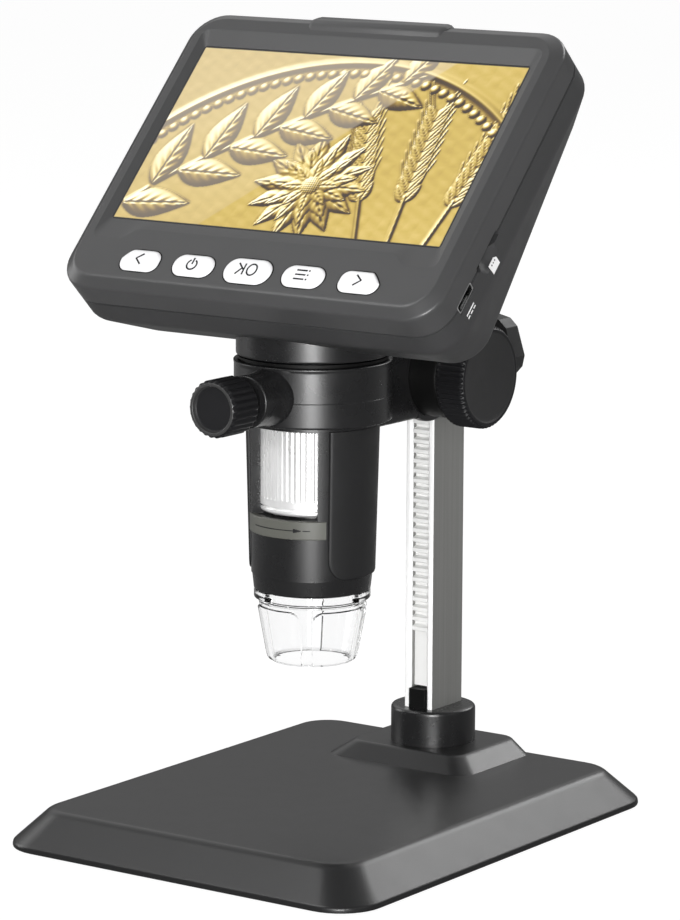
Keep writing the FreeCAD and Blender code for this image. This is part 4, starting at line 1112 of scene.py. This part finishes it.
    def signs(self) -> None:
        """Switch signs on the keys: arrows, power ring, reversed OK and menu lines."""
        v = self.key_v + 0.1
        power, okay, menu = (self.keys[name][0] for name in ("power", "ok", "menu"))
        for key, out in (("left", -0.9), ("right", 0.9)):
            u = self.keys[key][0]
            self.stroke(key, key + "_a", self.segment((u - out, v + 1.5), (u + out, v)))
            self.stroke(key, key + "_b", self.segment((u + out, v + 0.1), (u - out, v - 1.5)))
        self.stroke("power", "power_ring", self.ellipse(power, v - 0.2, 1.35, 1.4, 118, 422))
        self.stroke("power", "power_bar", self.segment((power, v + 1.75), (power, v - 0.1)))
        self.stroke("ok", "ok_stem", self.segment((okay - 0.75, v + 1.6), (okay - 0.75, v - 1.6)))
        self.stroke("ok", "ok_upper", self.segment((okay - 0.75, v - 0.3), (okay - 2.7, v + 1.6)))
        self.stroke("ok", "ok_lower", self.segment((okay - 1.35, v + 0.3), (okay - 2.7, v - 1.6)))
        self.stroke("ok", "ok_ring", self.ellipse(okay + 1.55, v, 1.3, 1.6))
        for step in range(3):
            rise = v + 1.25 * (step - 1)
            self.stroke("menu", f"menu_line_{step}", self.segment((menu - 1.9, rise), (menu + 1.0, rise)))
            self.stroke("menu", f"menu_dot_{step}", self.segment((menu + 1.45, rise), (menu + 1.85, rise)))

    def side_print(self, name: str, corners: list[Pair], finish: Finish = Finish.MARK_WHITE,
                   out: float = 0.03) -> None:
        """Thin print on the right side wall: a polygon in v and w that stands out a little along u."""
        flat = np.array(corners)
        rings = [np.column_stack([np.full(len(flat), u), flat]) for u in (self.half - 0.2, self.half + out)]
        fit(end_filled(name, self.on_screen(np.array(rings))), Body.MICROSCOPE, finish, "rear_shell")

    @staticmethod
    def oblong(v0: float, w0: float, long: float, wide: float) -> list[Pair]:
        """Rectangle in v and w from its low corner."""
        return [(v0, w0), (v0, w0 + wide), (v0 + long, w0 + wide), (v0 + long, w0)]

    def side_marks(self) -> None:
        """Memory-card sign and direct-current sign."""
        self.side_print("sign_card", [(-23.6, -13.3), (-23.6, -10.4), (-20.9, -10.4), (-20.1, -11.1),
                                      (-20.1, -13.3)])
        self.side_print("sign_dc_bar", self.oblong(-37.4, -11.4, 4.0, 0.35))
        for step in range(3):
            self.side_print(f"sign_card_contact_{step}", self.oblong(-22.9 + 0.8 * step, -11.3, 0.4, 0.4),
                            Finish.MARK_BLACK, 0.05)
            self.side_print(f"sign_dc_dash_{step}", self.oblong(-37.4 + 1.5 * step, -12.3, 1.0, 0.35))

    def build(self) -> None:
        """Make every piece of the housing."""
        self.bezel()
        self.tab()
        self.rear()
        for name in self.keys:
            self.key_cap(name)
        self.signs()
        self.side_marks()


# Picture on the screen
@dataclass
class Picture:
    """Magnified metal relief shown on the screen, worked out as one height field over x and y."""

    half: Pair = (47.55, 26.95)
    shape: tuple[int, int] = (226, 400)
    light: Triple = (-0.48, 0.56, 0.60)
    ramp: tuple[tuple[float, ...], ...] = (
        (0.0, 0.25, 0.45, 0.62, 0.74, 0.88, 1.05), (0.020, 0.085, 0.24, 0.46, 0.60, 0.86, 1.0),
        (0.008, 0.045, 0.15, 0.33, 0.46, 0.74, 0.96), (0.001, 0.006, 0.022, 0.07, 0.15, 0.40, 0.78))
    # Tone of the painted reflection laid over the screen's left part.
    painted_reflection_tone: Triple = (0.62, 0.54, 0.42)

    @staticmethod
    def across(x: np.ndarray, y: np.ndarray, foot: Pair, bearing: float) -> tuple[np.ndarray, np.ndarray]:
        """Distance along a bearing in degrees from foot, and distance to its left."""
        a = math.radians(bearing)
        dx, dy = x - foot[0], y - foot[1]
        return dx * math.cos(a) + dy * math.sin(a), dy * math.cos(a) - dx * math.sin(a)

    def leaf(self, x: np.ndarray, y: np.ndarray, foot: Pair, bearing: float, length: float,
             width: float) -> np.ndarray:
        """Height of one veined leaf.

        With s along the leaf and t across it, the half width is width sin(pi s^0.75) and the
        height is sqrt(1 - (t/half width)^2), less a midrib groove and slanting veins.
        """
        s, t = self.across(x, y, foot, bearing)
        s = s / length
        span = width * np.sin(math.pi * np.clip(s, 0.001, 0.999) ** 0.75)
        q = np.abs(t) / np.maximum(span, 0.02)
        dome = np.sqrt(np.clip(1 - q**2, 0, 1)) * (s > 0) * (s < 1)
        rib = np.exp(-((t / 0.22) ** 2))
        veins = 0.10 * np.cos(38 * s - 9 * q) * np.clip(1 - q, 0, 1)
        return dome * (0.55 + 0.45 * dome) * width * 0.42 * (1 - 0.45 * rib + veins)

    def ear(self, x: np.ndarray, y: np.ndarray, foot: Pair, bearing: float, pairs: int,
            size: float) -> np.ndarray:
        """Ear of corn: pairs of grains along a stalk, each grain a small leaf, with long bristles."""
        a = math.radians(bearing)
        height = np.zeros_like(x)
        for index in range(pairs):
            reach = size * 0.92 * index
            here = (foot[0] + reach * math.cos(a), foot[1] + reach * math.sin(a))
            for side in (-1, 1):
                grain = self.leaf(x, y, here, bearing + side * 32, size * 1.9, size * 0.46)
                bristle = self.line(x, y, here, bearing + side * 20, size * 4.2, 0.16) * 0.5
                height = np.max([height, grain, bristle], axis=0)
        return height

    def line(self, x: np.ndarray, y: np.ndarray, foot: Pair, bearing: float, length: float,
             width: float) -> np.ndarray:
        """Thin raised line: a bell across it, faded at its ends."""
        s, t = self.across(x, y, foot, bearing)
        return (np.exp(-((t / width) ** 2)) * smooth_step(s, 0, 0.5)
                * (1 - smooth_step(s, length - 1.5, length)))

    def flower(self, x: np.ndarray, y: np.ndarray, middle: Pair, size: float) -> np.ndarray:
        """Open flower: three rings of overlapping petals round a domed, dimpled heart."""
        height = np.zeros_like(x)
        for count, reach, wide, turn, level in ((14, 1.0, 0.20, 0.0, 0.0), (11, 0.74, 0.17, 16.0, 0.7),
                                                (8, 0.50, 0.13, 5.0, 1.3)):
            for step in range(count):
                petal = self.leaf(x, y, middle, turn + 360 / count * step, size * reach, size * wide)
                height = np.maximum(height, petal * 0.8 + level * (petal > 0.04))
        away = np.hypot(x - middle[0], y - middle[1]) / (0.24 * size)
        dimple = 0.25 * np.sin(5.2 * (x + y)) * np.sin(5.2 * (x - y))
        return np.maximum(height, np.sqrt(np.clip(1 - away**2, 0, 1)) * (2.6 + dimple))

    def relief(self, x: np.ndarray, y: np.ndarray) -> np.ndarray:
        """Height field in millimetres: rim and beads, a large leaf spray with berries, a flower and corn."""
        out, bearing = np.hypot(x - 4, y + 46), np.arctan2(y + 46, x - 4)
        bead = (bearing * 67.6 / 3.1) % 1 - 0.5
        beads = np.sqrt(np.clip(1 - (bead * 3.1 / 1.3) ** 2 - ((out - 67.6) / 1.3) ** 2, 0, 1))
        forms = [0.03 * np.sin(0.9 * x + 0.4 * np.sin(0.7 * y)) * np.sin(0.8 * y),
                 1.2 * np.exp(-((out - 71.0) ** 2)), 1.3 * beads, self.flower(x, y, (4.0, -12.5), 16.5)]
        for foot, heading in (((33.0, -30.0), 96.0), ((42.0, -30.0), 80.0), ((24.5, -30.0), 110.0)):
            a = math.radians(heading)
            tip = (foot[0] + 15 * math.cos(a), foot[1] + 15 * math.sin(a))
            forms += [self.line(x, y, foot, heading, 18.0, 0.5) * 0.9, self.ear(x, y, tip, heading, 9, 3.3)]
        for index, s in enumerate(np.linspace(0, 1, 12)):
            here, heading = (-47 + 62 * s, -22 + 42 * s**0.8), 44 - 22 * s
            side = 1 if index % 2 else -1
            berry = np.hypot(x - here[0] - 1.8 * side, y - here[1] + 3.6 * side)
            forms += [self.line(x, y, here, heading, 8.0, 0.6) * 0.9,
                      self.leaf(x, y, here, heading + side * 40, 19.5 - 5 * s, 4.4 - 0.8 * s) * 1.1,
                      1.6 * np.sqrt(np.clip(1 - (berry / 1.35) ** 2, 0, 1))]
        return np.max(forms, axis=0)

    def colours(self, x: np.ndarray, y: np.ndarray) -> np.ndarray:
        """Gold tones from the relief lit from the upper left, with a painted reflection over the left part.

        The height's slopes give a normal; its dot product with the light direction, less the
        hollows' share (the mean of the neighbours less the height itself), is looked up on a
        ramp from brown through gold to cream.
        """
        height = self.relief(x, y)
        dy, dx = np.gradient(height, y[:, 0], x[0])
        normal = np.stack([-1.5 * dx, -1.5 * dy, np.ones_like(dx)], -1)
        normal /= np.linalg.norm(normal, axis=-1, keepdims=True)
        shade = np.clip(normal @ np.array(self.light) / np.linalg.norm(self.light), 0, 1)
        padded = np.pad(height, 3, mode="edge")
        rows, cols = height.shape
        steps = ((-3, 0), (3, 0), (0, -3), (0, 3), (-2, -2), (2, 2), (-2, 2), (2, -2))
        around = sum(padded[3 + a:3 + a + rows, 3 + b:3 + b + cols] for a, b in steps) / len(steps)
        shade = shade - 0.55 * np.clip(around - height, 0, 0.8) + 0.05 * np.clip(height, 0, 1.2)
        shade += 0.010 * np.sin(37.1 * x + 11 * np.sin(5.3 * y)) * np.sin(41.3 * y + 7 * np.sin(4.7 * x))
        shade += 0.012 * np.sin(1.1 * x + 2.0 * y) + 0.02 * np.cos(0.06 * (x + 20)) * np.cos(0.09 * y)
        stops, *channels = self.ramp
        colour = np.stack([np.interp(shade, stops, channel) for channel in channels], -1)
        # Painted reflection: left of a diagonal the colours are blended towards a light tone, more strongly
        # towards the top, standing in for a softbox mirrored in the screen.
        painted_reflection_mask = 1 - smooth_step(x - 0.92 * y, 2.0, 3.2)
        painted_reflection_share = ((0.16 + 0.20 * smooth_step(y - 0.3 * x, -18.0, 26.0)) * painted_reflection_mask)[..., None]
        colour = colour * (1 - painted_reflection_share) + np.array(self.painted_reflection_tone) * painted_reflection_share
        edge = np.maximum(np.abs(x) - 47.15, np.abs(y) - 26.6)
        return np.where(edge[..., None] > 0, 0.004, colour)

    def build(self, housing: Housing) -> None:
        """Make the screen cover: a flat grid that carries the colours, with sides and a back."""
        rows, cols = self.shape
        x, y = np.meshgrid(np.linspace(-self.half[0], self.half[0], cols),
                           np.linspace(-self.half[1], self.half[1], rows))
        front = np.stack([x, y, np.full_like(x, -0.05)], -1).reshape(-1, 3)
        lip = front[[0, cols - 1, rows * cols - 1, (rows - 1) * cols]]
        base, here = rows * cols, np.arange(4)
        ahead = (here + 1) % 4
        sides = base + np.stack([4 + here, 4 + ahead, ahead, here], 1)
        rear = base + np.array([[7, 6, 5, 4]])
        points = np.vstack([front, lip, lip - [0, 0, 0.9]])
        faces = [skin_faces(rows, cols, False), sides, rear]
        piece = make_mesh("screen_cover", housing.on_screen(points), faces)
        tones = np.ones((len(points), 4))
        tones[:base, :3] = self.colours(x, y).reshape(-1, 3)
        tones[base:, :3] = 0.01
        layer = piece.data.attributes.new(Finish.PICTURE.value.attribute, "FLOAT_COLOR", "POINT")
        layer.data.foreach_set("color", tones.ravel())
        fit(piece, Body.MICROSCOPE, Finish.PICTURE, "screen_glass", "screen_glass")


KEPT: dict[Finish, tuple[str, ...]] = {
    Finish.STEEL: ("base_plate", "plate_screws", "column_bolt", "pinion_shaft", "lock_screw", "thumb_screw"),
    Finish.RUBBER: ("base_mat",),
    Finish.HUB: ("socket_clip", "collar_liner", "lens_carrier"),
    Finish.NYLON: ("rack", "gib_pad"),
    Finish.BARREL: ("column_cap",),
    Finish.TUBE: ("guide_tube",),
    Finish.LENS: ("lens", "leds", "objective_window"),
    Finish.BOARD: ("sensor_board", "main_board"),
    Finish.CHIP: ("image_sensor", "lcd_panel", "tact_switches", "dimmer_pot"),
    Finish.LAMP_BOARD: ("led_board",),
    Finish.FOIL: ("battery",),
    Finish.CHROME: ("usb_port",),
    # The card socket takes the dark screw finish, which paints the shade inside the card slot.
    Finish.DARK_STEEL_AND_SLOT_SHADE: ("card_socket", "housing_screws"),
    Finish.KNOB: ("dimmer_wheel",)}


def dress_kept() -> None:
    """Give every CAD node that still shows its finish."""
    for choice, names in KEPT.items():
        for name in names:
            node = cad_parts[name]
            node.data.materials.clear()
            node.data.materials.append(finish_of(choice))
            LOG.info("%s dressed as %s", name, choice.name)


# Studio
@dataclass(frozen=True)
class Softbox:
    """Rectangular soft light aimed at the object's middle, in metres and watts."""

    name: str
    place: Triple
    size: Pair
    power: float

    def hang(self) -> None:
        """Put the light in the scene."""
        data = bpy.data.lights.new(self.name, "AREA")
        data.shape = "RECTANGLE"
        data.size, data.size_y = self.size
        data.energy = self.power
        lamp = bpy.data.objects.new(self.name, data)
        lamp.location = Vector(self.place)
        lamp.rotation_euler = (Vector((0, 0, 0.1)) - lamp.location).to_track_quat("-Z", "Y").to_euler()
        bpy.context.scene.collection.objects.link(lamp)


SOFTBOXES = (Softbox("key_softbox", (-0.42, -0.66, 0.86), (0.40, 0.40), 2.9),
             Softbox("front_strip", (0.83, -0.87, 0.32), (0.13, 0.66), 3.2),
             Softbox("front_softbox", (0.37, -1.14, 0.32), (0.55, 0.62), 2.5),
             Softbox("low_softbox", (0.66, -1.02, 0.08), (0.34, 0.14), 9.5),
             Softbox("left_softbox", (-1.15, -0.25, 0.40), (0.5, 0.8), 3.6),
             Softbox("side_softbox", (1.25, 0.05, 0.50), (0.45, 0.8), 0.7),
             Softbox("back_softbox", (0.32, 1.15, 0.80), (0.9, 0.45), 6.2))


@dataclass
class Studio:
    """Pale floor, soft lights, white surround and the photograph's camera.

    What a mirror ray meets is dim on the camera's side and white behind the object. card is the
    middle, in metres, of a bright patch of floor that only mirror rays see.
    """

    eye: Triple = (591.9, -838.2, 274.7)
    yaw: float = 35.35
    dip: float = 10.16
    roll: float = -0.004
    lens: float = 168.68
    shift: float = 0.0141
    fill: float = 0.28
    dim: float = 0.12
    card: Triple = (0.30, -0.50, 0.0)
    card_level: float = 5.0
    glow: float = 1.12
    floor_share: float = 0.84
    floor_behind: float = 0.34
    horizon: float = 0.10

    def camera(self) -> None:
        """Camera at the photograph's place, turned by yaw, dip and roll."""
        data = bpy.data.cameras.new("camera")
        data.sensor_fit = "VERTICAL"
        data.sensor_height = data.sensor_width = 36.0
        data.lens = self.lens
        data.shift_x = self.shift
        data.clip_start, data.clip_end = 0.01, 20.0
        camera = bpy.data.objects.new("camera", data)
        camera.location = Vector(self.eye) * MM
        camera.rotation_euler = (math.radians(90 - self.dip), self.roll, math.radians(self.yaw))
        bpy.context.scene.collection.objects.link(camera)
        bpy.context.scene.camera = camera

    @staticmethod
    def rays(tree: Tree) -> tuple[Socket, Socket]:
        """1 for rays that look at a surface, directly or through glass, and 1 for mirror rays."""
        path = tree.nodes.new("ShaderNodeLightPath").outputs
        looked = reckoned(tree, "MAXIMUM", path["Is Camera Ray"], path["Is Transmission Ray"])
        return looked, reckoned(tree, "GREATER_THAN", path["Is Glossy Ray"], looked)

    def behind(self, tree: Tree, vector: Socket, span: Pair, levels: Pair) -> Socket:
        """Level that rises as a direction or place goes from the camera's side to behind the object."""
        yaw = math.radians(self.yaw)
        dot = wired(tree, "VectorMath", "Value", {0: vector, 1: (-math.sin(yaw), math.cos(yaw), 0)},
                    operation="DOT_PRODUCT")
        return ranged(tree, dot, span, levels, "SMOOTHSTEP")

    def floor(self) -> None:
        """Wide floor that fades to white in the camera's view and keeps the object's shadow."""
        wide, drop = 4000.0, -0.05
        corners = np.array([[-wide, -wide], [wide, -wide], [wide, wide], [-wide, wide]])
        floor = make_mesh("floor", levelled(corners, drop), [np.array([[0, 1, 2, 3]])])
        recipe = Recipe("floor_white")
        tree = recipe.tree
        recipe.set(Base_Color=recipe.tinted(recipe.noise(3.0), 0.3, grey(0.86), 0.7, grey(0.88)),
                   Roughness=0.9, Specular_IOR_Level=0.0)
        looked, mirrored = self.rays(tree)
        share = reckoned(tree, "MAXIMUM", reckoned(tree, "MULTIPLY", looked, self.floor_share), mirrored)
        away = wired(tree, "VectorMath", "Value", {0: recipe.coords, 1: self.card}, operation="DISTANCE")
        card = ranged(tree, away, (0.36, 0.10), (0.0, self.card_level), "SMOOTHSTEP")
        rear = self.behind(tree, recipe.coords, (-0.2, 0.5),
                           (self.dim - self.glow, self.floor_behind - self.glow))
        strength = reckoned(tree, "MULTIPLY_ADD", mirrored, reckoned(tree, "ADD", rear, card), self.glow)
        glow = wired(tree, "Emission", 0, {"Strength": strength})
        mix = wired(tree, "MixShader", 0, {0: share, 1: recipe.shader.outputs[0], 2: glow})
        out = next(n for n in tree.nodes if n.type == "OUTPUT_MATERIAL")
        tree.links.new(mix, out.inputs["Surface"])
        floor.data.materials.append(recipe.material)

    def surround(self) -> None:
        """World: white where it is looked at, white behind the object in mirror rays, softer as a light."""
        world = bpy.data.worlds.new("surround")
        world.use_nodes = True
        tree = world.node_tree
        back = next(n for n in tree.nodes if n.type == "BACKGROUND")
        back.inputs["Color"].default_value = (1, 1, 1, 1)
        looked, mirrored = self.rays(tree)
        plain = reckoned(tree, "MULTIPLY_ADD", looked, 1.0 - self.fill, self.fill)
        facing = wired(tree, "TexCoord", "Generated", {})
        rise = wired(tree, "SeparateXYZ", "Z", {"Vector": facing})
        height = ranged(tree, rise, (0.18, 0.5), (self.horizon, 1.0), "SMOOTHSTEP")
        mirror = reckoned(tree, "MULTIPLY", height, self.behind(tree, facing, (-0.3, 0.6), (self.dim, 1.0)))
        gain = reckoned(tree, "SUBTRACT", mirror, self.fill)
        tree.links.new(reckoned(tree, "MULTIPLY_ADD", mirrored, gain, plain), back.inputs["Strength"])
        bpy.context.scene.world = world

    def build(self) -> None:
        """Make the camera, floor, surround and lights."""
        self.camera()
        self.floor()
        self.surround()
        for softbox in SOFTBOXES:
            softbox.hang()
        bpy.context.scene.view_settings.view_transform = "Standard"


def main() -> None:
    """Build every piece, then the studio."""
    logging.basicConfig(level=logging.INFO, format="%(name)s: %(message)s")
    housing = Housing()
    Stand().build()
    Carriage().build()
    Barrel().build()
    housing.build()
    Picture().build(housing)
    dress_kept()
    Studio().build()


if __name__ == "__main__":
    main()
